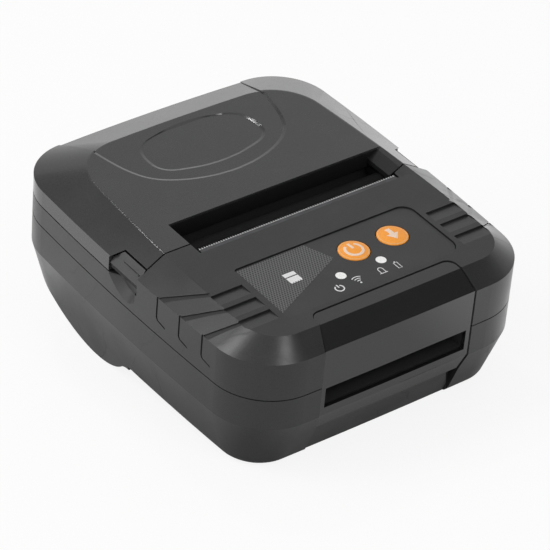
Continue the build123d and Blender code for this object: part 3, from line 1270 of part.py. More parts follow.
def make_pieces():
    outer_low = lower_solid(0, 1.0)
    inner_low = lower_solid(WALL, 2.0)
    outer_up = upper_solid(0, -1.0)
    outer_lid = upper_solid(0, -1.0, LID_EDGE_R)
    inner_up = upper_solid(WALL, -2.0)
    inner_lid = upper_solid(LID_WALL, -2.0)
    panel_outer = lower_solid(PANEL_SINK, 0) + upper_solid(PANEL_SINK, 0)
    panel_inner = lower_solid(PANEL_T, 0) + upper_solid(PANEL_T, 0)

    pieces = {
        "lower_housing": lower_housing(outer_low, inner_low),
        "upper_housing": upper_housing(outer_up, inner_up),
        "front_panel": front_panel(panel_outer, panel_inner),
        "card_guide": card_guide(),
        "control_membrane": control_membrane(),
        "power_button": push_button(POWER_X),
        "feed_button": push_button(FEED_X),
        "light_pipes": [light_pipe(x) for x in LIGHT_X],
        "lid_cover": lid_cover(outer_lid, inner_lid),
        "lid_inner_frame": lid_inner_frame(),
        "release_lever_left": release_lever(-1),
        "release_lever_right": release_lever(1),
        "lever_pins": [lever_pin(-1), lever_pin(1)],
        "hinge_pins": hinge_pins(),
        "platen_shaft": platen_shaft(),
        "platen_sleeve": platen_sleeve(),
        "platen_bushings": platen_bushings(),
        "platen_gear": platen_gear(),
        "idler_gear": idler_gear(),
        "idler_axle": idler_axle(),
        "motor_pinion": motor_pinion(),
        "stepper_motor": stepper_motor(),
        "head_chassis": head_chassis(),
        "head_screws": head_screws(),
        "thermal_head": thermal_head(),
        "head_springs": [head_spring(x) for x in spring_places()],
        "tear_bar": tear_bar(),
        "paper_bucket": paper_bucket(),
        "paper_sensor": paper_sensor(),
        "main_board": main_board(),
        "board_parts": board_parts(),
        "key_board": key_board(),
        "key_switches": [key_switch(x) for x in (POWER_X, FEED_X)],
        "status_leds": [status_led(x) for x in LIGHT_X],
        "board_screws": board_screws(),
        "io_board": io_board(),
        "usb_port": usb_port(),
        "charge_jack": charge_jack(),
        "port_cover": port_cover(outer_low),
        "battery_pack": battery_pack(outer_low),
        "battery_latch": battery_latch(),
        "battery_contacts": battery_contacts(),
        "housing_screws": housing_screws(),
    }
    return pieces


def main():
    os.makedirs("parts", exist_ok=True)
    print("pitch", degrees(PITCH), "centre y", CENTRE_Y, "lift", REST_LIFT)
    for name, shape in make_pieces().items():
        shapes = shape if isinstance(shape, list) else [shape]
        solids = [s for one in shapes for s in one.solids()]
        moved = [placed(s) for s in solids]
        export_step(moved[0] if len(moved) == 1 else Compound(children=moved), f"parts/{name}.step")
        print(name, len(moved), round(sum(s.volume for s in moved), 1))


if __name__ == "__main__":
    main()
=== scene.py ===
import json
import math

import bmesh
import bpy
from mathutils import Matrix, Vector


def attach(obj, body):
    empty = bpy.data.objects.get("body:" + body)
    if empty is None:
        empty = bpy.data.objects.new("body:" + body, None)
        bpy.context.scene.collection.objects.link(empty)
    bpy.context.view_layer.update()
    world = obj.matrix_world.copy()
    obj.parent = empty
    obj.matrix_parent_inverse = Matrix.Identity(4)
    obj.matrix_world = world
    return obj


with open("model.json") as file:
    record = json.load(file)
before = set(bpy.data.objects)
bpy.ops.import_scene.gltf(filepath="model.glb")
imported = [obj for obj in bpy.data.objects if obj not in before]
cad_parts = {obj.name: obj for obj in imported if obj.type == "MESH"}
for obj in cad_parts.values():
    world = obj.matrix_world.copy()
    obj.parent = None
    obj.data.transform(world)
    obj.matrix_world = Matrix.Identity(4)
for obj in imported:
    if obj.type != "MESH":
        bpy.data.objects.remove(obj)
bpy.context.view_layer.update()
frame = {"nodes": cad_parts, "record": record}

# The printer is described level, in millimetres: x right, y back, z up from its parting line.
# It lies nose-down on its front edge and its belly.
NOSE_DOWN = math.radians(6.784217)
MIDDLE_Y = 0.069542
LIFT = 0.030114
LIE = Matrix.Translation((0, -MIDDLE_Y, LIFT)) @ Matrix.Rotation(NOSE_DOWN, 4, "X")
MM = Matrix.Scale(0.001, 4)

DECK_Z = 20.5
FIELD_TOP_Z = DECK_Z - 0.5
POWER_X = 4.8
FEED_X = 20.7
BUTTON_Y = 32.3
BUTTON_TOP_Z = DECK_Z + 0.2
BUTTON_DOME_R = 22.0
TEETH_FROM_Y = -0.01325

# Places of the printed signs, x and y
POWER_SIGN = (-11.4, 18.7)
WIRELESS_SIGN = (-3.6, 17.6)
PAPER_SIGN = (5.9, 19.1)
BATTERY_SIGN = (12.2, 18.8)
SLIP_SIGN = (-20.9, 31.1)

# Walls of the paper exit, where the lid gets painted shade, in metres and as the printer lies: the deck's
# slope and height, how far below it they start, and their middle, half width and rear limit
EXIT_DECK_SLOPE = 0.119
EXIT_DECK_Z = 0.05905
EXIT_WALL_DEPTH = 0.0009
EXIT_MIDDLE_X = 0.0028
EXIT_HALF_WIDTH = 0.0462
EXIT_REAR_Y = 0.006

# Floor: how much of its own white is shown, and half the printer's footprint in metres, round which a shadow
# is painted into the floor's gloss
FLOOR_WHITE_SHARE = 0.87
FOOT_HALF_X = 0.054
FOOT_HALF_Y = 0.060

# The photograph's frame in pixels, and the width of the camera's sensor
FRAME_PX = 550
SENSOR_MM = 36

# Sunk fields of the lid: where their sloped edges turn, as half width against distance from the back wall
LENGTH = 138.4
SUNK_X = -1.1
SUNK_DEPTH = 0.35
SLOPE_W = 1.2
TONGUE_TURN = ((32.5, 31.6), (31.6, 34.0), (29.3, 38.4), (25.9, 42.1), (21.7, 44.9), (17.2, 47.0),
               (12.4, 48.6), (7.5, 49.7), (2.5, 50.2))
LOOP_TURN = ((22.9, 32.2), (22.9, 33.7), (21.9, 36.5), (20.0, 38.7), (17.4, 40.2), (14.6, 41.1), (11.7, 41.9),
             (8.9, 42.6), (5.9, 43.1), (3.0, 43.3))


# Camera: the photograph's view, as turn, height and tilt about a point on the level printer
def aim_camera():
    turn = math.radians(-39.823)
    height = math.radians(36.359)
    tilt = math.radians(5.150)
    distance = 1.05557
    focal = 3191.87
    aside = (8.2 / focal, -16.4 / focal)
    target = Vector((0, 0.061554, 0))

    back = Vector((math.sin(turn) * math.cos(height), -math.cos(turn) * math.cos(height), math.sin(height)))
    level_right = Vector((math.cos(turn), math.sin(turn), 0))
    level_up = back.cross(level_right)
    right = level_right * math.cos(tilt) + level_up * math.sin(tilt)
    up = level_up * math.cos(tilt) - level_right * math.sin(tilt)
    ahead = (-back - right * aside[0] + up * aside[1]).normalized()
    right = ahead.cross(up).normalized()
    up = right.cross(ahead)
    stand = target + back * distance
    pose = Matrix((
        (right.x, up.x, -ahead.x, stand.x),
        (right.y, up.y, -ahead.y, stand.y),
        (right.z, up.z, -ahead.z, stand.z),
        (0, 0, 0, 1)))
    data = bpy.data.cameras.new("camera")
    data.sensor_width = SENSOR_MM
    data.lens = focal / FRAME_PX * SENSOR_MM
    data.clip_start = 0.05
    data.clip_end = 20
    camera = bpy.data.objects.new("camera", data)
    bpy.context.scene.collection.objects.link(camera)
    camera.matrix_world = LIE @ pose
    bpy.context.scene.camera = camera


# Light: a pale studio that is bright low down all round and dim above the front,
# with two soft lamps and a small one overhead and a large one low on the left
def light_studio():
    world = bpy.data.worlds.new("studio")
    bpy.context.scene.world = world
    world.use_nodes = True
    tree = world.node_tree
    tree.nodes.clear()
    out = tree.nodes.new("ShaderNodeOutputWorld")
    seen = tree.nodes.new("ShaderNodeBackground")
    seen.inputs["Color"].default_value = (1, 1, 1, 1)
    seen.inputs["Strength"].default_value = 1.0
    around = tree.nodes.new("ShaderNodeBackground")
    around.inputs["Color"].default_value = (1, 1, 1, 1)
    tree.links.new(studio_level(tree), around.inputs["Strength"])
    path = tree.nodes.new("ShaderNodeLightPath")
    mix = tree.nodes.new("ShaderNodeMixShader")
    tree.links.new(path.outputs["Is Camera Ray"], mix.inputs[0])
    tree.links.new(around.outputs[0], mix.inputs[1])
    tree.links.new(seen.outputs[0], mix.inputs[2])
    tree.links.new(mix.outputs[0], out.inputs[0])

    lamp("overhead_left", (-0.66, 0.31, 1.02), 0.36, 2.6)
    lamp("overhead_front", (0.0, -0.89, 0.89), 0.28, 1.9)
    lamp("side_edge", (0.10, 0.62, 1.08), 0.08, 1.0)
    lamp("left_box", (-1.3, 0.45, 0.60), 1.4, 6.5)


# A smooth change from one level to another while a value goes from low to high
def smooth_step(tree, value, low, high, start, end):
    made = tree.nodes.new("ShaderNodeMapRange")
    made.interpolation_type = "SMOOTHSTEP"
    for label, number in (("From Min", low), ("From Max", high), ("To Min", start), ("To Max", end)):
        made.inputs[label].default_value = number
    tree.links.new(value, made.inputs["Value"])
    return made.outputs["Result"]


# Strength of the studio by direction: dimmer from the horizon upward, dimmer still towards the front right
# and high at the back, as if a dark card stood there
def studio_level(tree):
    def toward(direction):
        made = tree.nodes.new("ShaderNodeVectorMath")
        made.operation = "DOT_PRODUCT"
        made.inputs[1].default_value = direction
        tree.links.new(place.outputs["Generated"], made.inputs[0])
        return made.outputs["Value"]

    def times(a, b):
        made = tree.nodes.new("ShaderNodeMath")
        made.operation = "MULTIPLY"
        tree.links.new(a, made.inputs[0])
        tree.links.new(b, made.inputs[1])
        return made.outputs[0]

    place = tree.nodes.new("ShaderNodeTexCoord")
    split = tree.nodes.new("ShaderNodeSeparateXYZ")
    tree.links.new(place.outputs["Generated"], split.inputs[0])
    height = smooth_step(tree, split.outputs["Z"], 0.1, 0.5, 1.0, 0.6)
    front = smooth_step(tree, toward((0.53, -0.66, 0.53)), 0.80, 0.98, 1.0, 0.2)
    card = smooth_step(tree, toward((0.0, 0.63, 0.776)), 0.93, 0.985, 1.0, 0.5)
    return times(times(height, front), card)


def lamp(name, place, size, power):
    data = bpy.data.lights.new(name, "AREA")
    data.shape = "SQUARE"
    data.size = size
    data.energy = power
    obj = bpy.data.objects.new(name, data)
    obj.location = place
    obj.rotation_mode = "QUATERNION"
    obj.rotation_quaternion = Vector(place).to_track_quat("Z", "Y")
    bpy.context.scene.collection.objects.link(obj)


def lay_floor():
    mesh = bpy.data.meshes.new("floor")
    reach = 6.0
    mesh.from_pydata([(-reach, -reach, 0), (reach, -reach, 0), (reach, reach, 0), (-reach, reach, 0)], [],
                     [(0, 1, 2, 3)])
    floor = bpy.data.objects.new("floor", mesh)
    bpy.context.scene.collection.objects.link(floor)
    material = bpy.data.materials.new("floor_white")
    material.use_nodes = True
    tree = material.node_tree
    tree.nodes.clear()
    out = tree.nodes.new("ShaderNodeOutputMaterial")
    matt = tree.nodes.new("ShaderNodeBsdfDiffuse")
    matt.inputs["Color"].default_value = (0.9, 0.9, 0.9, 1)
    white = tree.nodes.new("ShaderNodeEmission")
    path = tree.nodes.new("ShaderNodeLightPath")
    share = tree.nodes.new("ShaderNodeMath")
    share.operation = "MAXIMUM"
    tree.links.new(path.outputs["Is Camera Ray"], share.inputs[0])
    tree.links.new(path.outputs["Is Glossy Ray"], share.inputs[1])
    most = tree.nodes.new("ShaderNodeMath")
    most.operation = "MULTIPLY"
    most.inputs[1].default_value = FLOOR_WHITE_SHARE
    tree.links.new(share.outputs[0], most.inputs[0])
    glow = tree.nodes.new("ShaderNodeMix")
    tree.links.new(path.outputs["Is Glossy Ray"], glow.inputs["Factor"])
    glow.inputs["A"].default_value = 1.0
    tree.links.new(floor_sheen(tree), glow.inputs["B"])
    tree.links.new(glow.outputs["Result"], white.inputs["Strength"])
    mix = tree.nodes.new("ShaderNodeMixShader")
    tree.links.new(most.outputs[0], mix.inputs[0])
    tree.links.new(matt.outputs[0], mix.inputs[1])
    tree.links.new(white.outputs[0], mix.inputs[2])
    tree.links.new(mix.outputs[0], out.inputs[0])
    mesh.materials.append(material)


# How white the floor looks in the printer's gloss, as painted light: full at the back, painted shade in front
# and a painted shadow near its foot, and a painted brighter patch close on the right than farther out
def floor_sheen(tree):
    def maths(operation, a, b=0.0):
        made = tree.nodes.new("ShaderNodeMath")
        made.operation = operation
        for socket, value in zip(made.inputs, (a, b)):
            if isinstance(value, float):
                socket.default_value = value
            else:
                tree.links.new(value, socket)
        return made.outputs[0]

    place = tree.nodes.new("ShaderNodeTexCoord")
    split = tree.nodes.new("ShaderNodeSeparateXYZ")
    tree.links.new(place.outputs["Object"], split.inputs[0])
    across, depth = split.outputs["X"], split.outputs["Y"]
    aside = maths("MAXIMUM", maths("SUBTRACT", maths("ABSOLUTE", across), FOOT_HALF_X))
    along = maths("MAXIMUM", maths("SUBTRACT", maths("ABSOLUTE", depth), FOOT_HALF_Y))
    away = maths("MAXIMUM", aside, along)
    # painted shade towards the front, and a painted shadow round the printer's foot
    level = maths("MULTIPLY", smooth_step(tree, depth, -0.04, 0.09, 0.62, 1.0),
                  smooth_step(tree, away, 0.0, 0.02, 0.4, 1.0))
    # painted brighter light close on the right, falling off farther out
    level = maths("MULTIPLY", level, smooth_step(tree, across, 0.03, 0.07, 1.0, 1.8))
    return maths("MULTIPLY", level, smooth_step(tree, across, 0.10, 0.40, 1.0, 0.8))


# Shader groups shared by the finishes
class Group:
    def __init__(self, name, inputs, outputs):
        self.tree = bpy.data.node_groups.new(name, "ShaderNodeTree")
        for label, value in inputs:
            socket = self.tree.interface.new_socket(label, in_out="INPUT", socket_type="NodeSocketFloat")
            socket.default_value = value
        for label, kind in outputs:
            self.tree.interface.new_socket(label, in_out="OUTPUT", socket_type=kind)
        self.inlet = self.tree.nodes.new("NodeGroupInput")
        self.outlet = self.tree.nodes.new("NodeGroupOutput")

    def node(self, kind, **settings):
        made = self.tree.nodes.new(kind)
        for key, value in settings.items():
            setattr(made, key, value)
        return made

    def math(self, operation, a, b=None, clamp=False):
        made = self.node("ShaderNodeMath", operation=operation, use_clamp=clamp)
        for socket, value in zip(made.inputs, (a, b)):
            if value is None:
                continue
            if isinstance(value, (int, float)):
                socket.default_value = value
            else:
                self.tree.links.new(value, socket)
        return made.outputs[0]

    def link(self, a, b):
        self.tree.links.new(a, b)

    # Object coordinates divided by a length in millimetres
    def scaled_place(self, millimetres):
        place = self.node("ShaderNodeTexCoord")
        scale = self.math("DIVIDE", 1000.0, millimetres)
        vector = self.node("ShaderNodeVectorMath", operation="SCALE")
        self.link(place.outputs["Object"], vector.inputs[0])
        self.link(scale, vector.inputs["Scale"])
        return vector.outputs[0]

    def noise(self, millimetres, detail=2.0, rough=0.5):
        made = self.node("ShaderNodeTexNoise")
        made.inputs["Scale"].default_value = 1.0
        made.inputs["Detail"].default_value = detail
        made.inputs["Roughness"].default_value = rough
        self.link(self.scaled_place(millimetres), made.inputs["Vector"])
        return made.outputs["Fac"]


def ramp(group, value, low, high):
    made = group.node("ShaderNodeMapRange", interpolation_type="SMOOTHSTEP")
    made.inputs["From Min"].default_value = low
    made.inputs["From Max"].default_value = high
    group.link(value, made.inputs["Value"])
    return made.outputs["Result"]


# Spark-eroded grain of a mould: fine pits over a slower waviness
def build_mould_grain():
    g = Group("mould_grain", [("Grain mm", 0.25), ("Waviness", 0.3)],
              [("Height", "NodeSocketFloat"), ("Mask", "NodeSocketFloat")])
    fine = g.noise(g.inlet.outputs["Grain mm"], 3.0, 0.6)
    wide = g.noise(g.math("MULTIPLY", g.inlet.outputs["Grain mm"], 40.0), 2.0)
    wave = g.math("MULTIPLY", wide, g.inlet.outputs["Waviness"])
    g.link(g.math("ADD", fine, wave), g.outlet.inputs["Height"])
    g.link(ramp(g, fine, 0.35, 0.65), g.outlet.inputs["Mask"])
    return g.tree


# Worn edges: where a rounded normal leaves the true one, broken up by noise
def build_edge_wear():
    g = Group("edge_wear", [("Radius mm", 0.5), ("Break up mm", 3.0)], [("Mask", "NodeSocketFloat")])
    round_edge = g.node("ShaderNodeBevel", samples=6)
    g.link(g.math("DIVIDE", g.inlet.outputs["Radius mm"], 1000.0), round_edge.inputs["Radius"])
    true_face = g.node("ShaderNodeNewGeometry")
    dot = g.node("ShaderNodeVectorMath", operation="DOT_PRODUCT")
    g.link(round_edge.outputs["Normal"], dot.inputs[0])
    g.link(true_face.outputs["Normal"], dot.inputs[1])
    turn = g.math("SUBTRACT", 1.0, dot.outputs["Value"])
    edge = ramp(g, turn, 0.01, 0.2)
    patch = ramp(g, g.noise(g.inlet.outputs["Break up mm"], 4.0, 0.65), 0.42, 0.62)
    g.link(g.math("MULTIPLY", edge, patch), g.outlet.inputs["Mask"])
    return g.tree


# Handling marks: soft smears from fingers, and a few fine hairlines
def build_handling():
    g = Group("handling", [("Smear mm", 18.0)],
              [("Smear", "NodeSocketFloat"), ("Hairline", "NodeSocketFloat")])
    smear = g.noise(g.inlet.outputs["Smear mm"], 3.0, 0.55)
    g.link(ramp(g, smear, 0.38, 0.68), g.outlet.inputs["Smear"])
    bend = g.noise(30.0, 1.0)
    wave = g.node("ShaderNodeTexWave", wave_type="BANDS", bands_direction="DIAGONAL")
    wave.inputs["Scale"].default_value = 0.35
    wave.inputs["Distortion"].default_value = 7.0
    wave.inputs["Detail"].default_value = 3.0
    g.link(g.scaled_place(9.0), wave.inputs["Vector"])
    line = ramp(g, wave.outputs["Fac"], 0.985, 1.0)
    g.link(g.math("MULTIPLY", line, ramp(g, bend, 0.5, 0.6)), g.outlet.inputs["Hairline"])
    return g.tree


# Dust that settles on faces that look up
def build_dust():
    g = Group("dust", [("Speck mm", 0.6)], [("Mask", "NodeSocketFloat")])
    face = g.node("ShaderNodeNewGeometry")
    split = g.node("ShaderNodeSeparateXYZ")
    g.link(face.outputs["Normal"], split.inputs[0])
    upward = ramp(g, split.outputs["Z"], 0.3, 0.95)
    veil = ramp(g, g.noise(12.0, 4.0, 0.6), 0.4, 0.75)
    speck = ramp(g, g.noise(g.inlet.outputs["Speck mm"], 1.0), 0.72, 0.8)
    both = g.math("ADD", g.math("MULTIPLY", veil, 0.25), speck, clamp=True)
    g.link(g.math("MULTIPLY", upward, both), g.outlet.inputs["Mask"])
    return g.tree


# Lines left by drawing, turning or grinding along one direction
def build_tool_lines():
    g = Group("tool_lines", [("Line mm", 0.15)], [("Height", "NodeSocketFloat")])
    place = g.node("ShaderNodeTexCoord")
    stretch = g.node("ShaderNodeMapping")
    stretch.inputs["Scale"].default_value = (0.04, 1.0, 1.0)
    g.link(place.outputs["Object"], stretch.inputs["Vector"])
    scale = g.math("DIVIDE", 1000.0, g.inlet.outputs["Line mm"])
    vector = g.node("ShaderNodeVectorMath", operation="SCALE")
    g.link(stretch.outputs[0], vector.inputs[0])
    g.link(scale, vector.inputs["Scale"])
    made = g.node("ShaderNodeTexNoise")
    made.inputs["Scale"].default_value = 1.0
    made.inputs["Detail"].default_value = 2.0
    g.link(vector.outputs[0], made.inputs["Vector"])
    g.link(made.outputs["Fac"], g.outlet.inputs["Height"])
    return g.tree


GRAIN = build_mould_grain()
WEAR = build_edge_wear()
HANDLING = build_handling()
DUST = build_dust()
TOOL_LINES = build_tool_lines()


class Finish:
    def __init__(self, name):
        self.material = bpy.data.materials.new(name)
        self.material.use_nodes = True
        self.tree = self.material.node_tree
        self.shader = self.tree.nodes["Principled BSDF"]

    def group(self, tree, **values):
        made = self.tree.nodes.new("ShaderNodeGroup")
        made.node_tree = tree
        for label, value in values.items():
            made.inputs[label.replace("_", " ")].default_value = value
        return made

    def link(self, a, b):
        self.tree.links.new(a, b)

    def math(self, operation, a, b):
        made = self.tree.nodes.new("ShaderNodeMath")
        made.operation = operation
        for socket, value in zip(made.inputs, (a, b)):
            if isinstance(value, (int, float)):
                socket.default_value = value
            else:
                self.link(value, socket)
        return made.outputs[0]

    def blend(self, mask, low, high):
        made = self.tree.nodes.new("ShaderNodeMix")
        made.data_type = "RGBA"
        for socket, colour in ((made.inputs["A"], low), (made.inputs["B"], high)):
            if isinstance(colour, tuple):
                socket.default_value = (*colour, 1)
            else:
                self.link(colour, socket)
        self.link(mask, made.inputs["Factor"])
        return made.outputs["Result"]

    def spread(self, mask, low, high):
        made = self.tree.nodes.new("ShaderNodeMapRange")
        made.inputs["To Min"].default_value = low
        made.inputs["To Max"].default_value = high
        self.link(mask, made.inputs["Value"])
        return made.outputs["Result"]

    # Mask of the walls round the paper exit, where painted shade goes: below the deck's plane, forward of the
    # lid's middle
    def exit_walls(self):
        place = self.tree.nodes.new("ShaderNodeTexCoord")
        split = self.tree.nodes.new("ShaderNodeSeparateXYZ")
        self.link(place.outputs["Object"], split.inputs[0])
        across, along = split.outputs["X"], split.outputs["Y"]
        deck = self.math("ADD", self.math("MULTIPLY", along, EXIT_DECK_SLOPE), EXIT_DECK_Z)
        below = self.math("GREATER_THAN", self.math("SUBTRACT", deck, split.outputs["Z"]), EXIT_WALL_DEPTH)
        aside = self.math("ABSOLUTE", self.math("SUBTRACT", across, EXIT_MIDDLE_X), 0.0)
        inside = self.math("LESS_THAN", aside, EXIT_HALF_WIDTH)
        ahead = self.math("LESS_THAN", along, EXIT_REAR_Y)
        return self.math("MULTIPLY", self.math("MULTIPLY", below, inside), ahead)

    def bump(self, height, millimetres, strength=1.0):
        made = self.tree.nodes.new("ShaderNodeBump")
        made.inputs["Distance"].default_value = millimetres / 1000
        made.inputs["Strength"].default_value = strength
        self.link(height, made.inputs["Height"])
        self.link(made.outputs[0], self.shader.inputs["Normal"])


def grey(value):
    return (value, value, value * 1.02)


# Moulded plastic: grain, smears that change the gloss, pale worn edges and dust. A glossy one is given a slow
# waviness in place of pits.
# One can also be painted darker inside the paper exit, as painted shade, and made rougher and less shiny
# there.
def moulded(name, colour, gloss, grain_mm=0.3, grain_depth=0.01, wear=0.5, dusty=0.5, shine=0.5,
             wave_mm=0.0, matt_shaded_exit=False):
    f = Finish(name)
    grain = f.group(GRAIN, Grain_mm=grain_mm)
    wear_mask = f.math("MULTIPLY", f.group(WEAR).outputs["Mask"], wear)
    marks = f.group(HANDLING)
    dust = f.math("MULTIPLY", f.group(DUST).outputs["Mask"], dusty)
    lighter = tuple(min(1.0, c * 1.22 + 0.004) for c in colour)
    rubbed = tuple(min(1.0, c * 1.8 + 0.05) for c in colour)
    tone = f.blend(grain.outputs["Mask"], colour, lighter)
    tone = f.blend(wear_mask, tone, rubbed)
    tone = f.blend(f.math("MULTIPLY", dust, 0.25), tone, (0.42, 0.41, 0.39))
    rough = f.spread(marks.outputs["Smear"], gloss, gloss + 0.07)
    rough = f.math("ADD", rough, f.math("MULTIPLY", marks.outputs["Hairline"], 0.08))
    rough = f.math("ADD", rough, f.math("MULTIPLY", dust, 0.2))
    f.shader.inputs["Specular IOR Level"].default_value = shine
    # painted shade: the walls inside the paper exit get a darker colour, and are made rougher and less shiny
    if matt_shaded_exit:
        walls = f.exit_walls()
        tone = f.blend(walls, tone, grey(0.012))
        rough = f.math("ADD", rough, f.math("MULTIPLY", walls, 0.25))
        f.link(f.spread(walls, shine, 0.25), f.shader.inputs["Specular IOR Level"])
    f.link(tone, f.shader.inputs["Base Color"])
    f.link(rough, f.shader.inputs["Roughness"])
    relief = f.group(GRAIN, Grain_mm=wave_mm) if wave_mm else grain
    f.bump(relief.outputs["Height"], grain_depth)
    return f.material


# Metal with fine tool lines and stains. Behind a given line across it, it is ground bright.
def metal(name, colour, gloss, line_mm=0.15, depth=0.004, stain=0.75, bright_from=None):
    f = Finish(name)
    lines = f.group(TOOL_LINES, Line_mm=line_mm)
    marks = f.group(HANDLING, Smear_mm=7.0)
    dull = tuple(c * stain for c in colour)
    tone = f.blend(marks.outputs["Smear"], colour, dull)
    if bright_from is not None:
        place = f.tree.nodes.new("ShaderNodeTexCoord")
        split = f.tree.nodes.new("ShaderNodeSeparateXYZ")
        f.link(place.outputs["Object"], split.inputs[0])
        tone = f.blend(f.math("GREATER_THAN", split.outputs["Y"], bright_from), tone, (0.72, 0.72, 0.73))
    f.link(tone, f.shader.inputs["Base Color"])
    f.shader.inputs["Metallic"].default_value = 1.0
    f.link(f.math("ADD", f.spread(lines.outputs["Height"], gloss - 0.06, gloss + 0.1),
                  f.math("MULTIPLY", marks.outputs["Smear"], 0.08)), f.shader.inputs["Roughness"])
    f.bump(lines.outputs["Height"], depth)
    return f.material


# Ink of the signs, slightly uneven in its gloss
def ink(name, colour, gloss=0.4):
    f = Finish(name)
    grain = f.group(GRAIN, Grain_mm=0.5)
    darker = tuple(c * 0.9 for c in colour)
    f.link(f.blend(grain.outputs["Mask"], colour, darker), f.shader.inputs["Base Color"])
    f.link(f.spread(grain.outputs["Mask"], gloss, gloss + 0.1), f.shader.inputs["Roughness"])
    return f.material


# Two crossing sets of printed bars, one along the field and one slanting across it
def woven(name, dark, pale, pitch_mm=0.86):
    f = Finish(name)
    place = f.tree.nodes.new("ShaderNodeTexCoord")
    bars = []
    for direction in ((0.0, 1.0), (0.88, -0.47)):
        along = f.tree.nodes.new("ShaderNodeVectorMath")
        along.operation = "DOT_PRODUCT"
        along.inputs[1].default_value = (direction[0] * 1000, direction[1] * 1000, 0)
        f.link(place.outputs["Object"], along.inputs[0])
        turns = f.math("MULTIPLY", along.outputs["Value"], 2 * math.pi / pitch_mm)
        bars.append(f.math("SINE", turns, 0.0))
    weave = f.math("MAXIMUM", bars[0], bars[1])
    mask = f.tree.nodes.new("ShaderNodeMapRange")
    mask.interpolation_type = "SMOOTHSTEP"
    mask.inputs["From Min"].default_value = 0.1
    mask.inputs["From Max"].default_value = 0.95
    f.link(weave, mask.inputs["Value"])
    f.link(f.blend(mask.outputs["Result"], dark, pale), f.shader.inputs["Base Color"])
    grain = f.group(GRAIN, Grain_mm=0.3)
    f.link(f.spread(grain.outputs["Mask"], 0.3, 0.42), f.shader.inputs["Roughness"])
    f.bump(weave, 0.01)
    return f.material


def make_finishes():
    return {
        "housing_black": moulded("housing_black", grey(0.019), 0.28, 0.35, 0.0015, 0.3, 0.25),
        "lid_black": moulded("lid_black", grey(0.026), 0.12, 0.3, 0.0005, 0.2, 0.12, 0.78, 6.0, True),
        "panel_black": moulded("panel_black", grey(0.008), 0.09, 0.3, 0.0006, 0.15, 0.05, 0.85, 7.0),
        "inner_black": moulded("inner_black", grey(0.005), 0.40, 0.4, 0.002, 0.05, 0.03, 0.2),
        "battery_black": moulded("battery_black", grey(0.018), 0.34, 0.4, 0.006, 0.4, 0.2),
        "membrane": moulded("membrane", grey(0.023), 0.34, 0.18, 0.002, 0.1, 0.25),
        "button_orange": moulded("button_orange", (0.89, 0.32, 0.04), 0.36, 0.3, 0.001, 0.0, 0.0, 0.35),
        "light_white": moulded("light_white", (0.82, 0.82, 0.8), 0.2, 0.4, 0.002, 0.0, 0.1),
        "steel": metal("steel", (0.42, 0.42, 0.43), 0.3),
        "guide_black": moulded("guide_black", grey(0.03), 0.35, 0.4, 0.002, 0.05, 0.03),
        "toothed_steel": metal("toothed_steel", (0.13, 0.13, 0.135), 0.32, bright_from=TEETH_FROM_Y),
        "screw_steel": metal("screw_steel", (0.09, 0.09, 0.095), 0.4, 0.1),
        "spring_steel": metal("spring_steel", (0.6, 0.6, 0.62), 0.28, 0.08),
        "zinc_steel": metal("zinc_steel", (0.6, 0.62, 0.63), 0.34, 0.5, 0.006),
        "head_aluminium": metal("head_aluminium", (0.75, 0.76, 0.78), 0.36, 0.3, 0.008),
        "brass": metal("brass", (0.7, 0.52, 0.22), 0.28, 0.12),
        "gold_contact": metal("gold_contact", (0.8, 0.6, 0.25), 0.22, 0.3),
        "platen_rubber": moulded("platen_rubber", grey(0.003), 0.62, 0.3, 0.004, 0.0, 0.02, 0.12),
        "cover_rubber": moulded("cover_rubber", grey(0.024), 0.6, 0.3, 0.02, 0.3, 0.5),
        "acetal_white": moulded("acetal_white", (0.78, 0.77, 0.73), 0.35, 0.3, 0.006, 0.0, 0.1),
        "board_green": moulded("board_green", (0.02, 0.13, 0.06), 0.28, 0.3, 0.004, 0.0, 0.1),
        "chip_black": moulded("chip_black", grey(0.02), 0.5, 0.15, 0.008, 0.1, 0.1),
    }


bpy.context.scene.view_settings.view_transform = "Standard"
aim_camera()
light_studio()
lay_floor()
FINISHES = make_finishes()


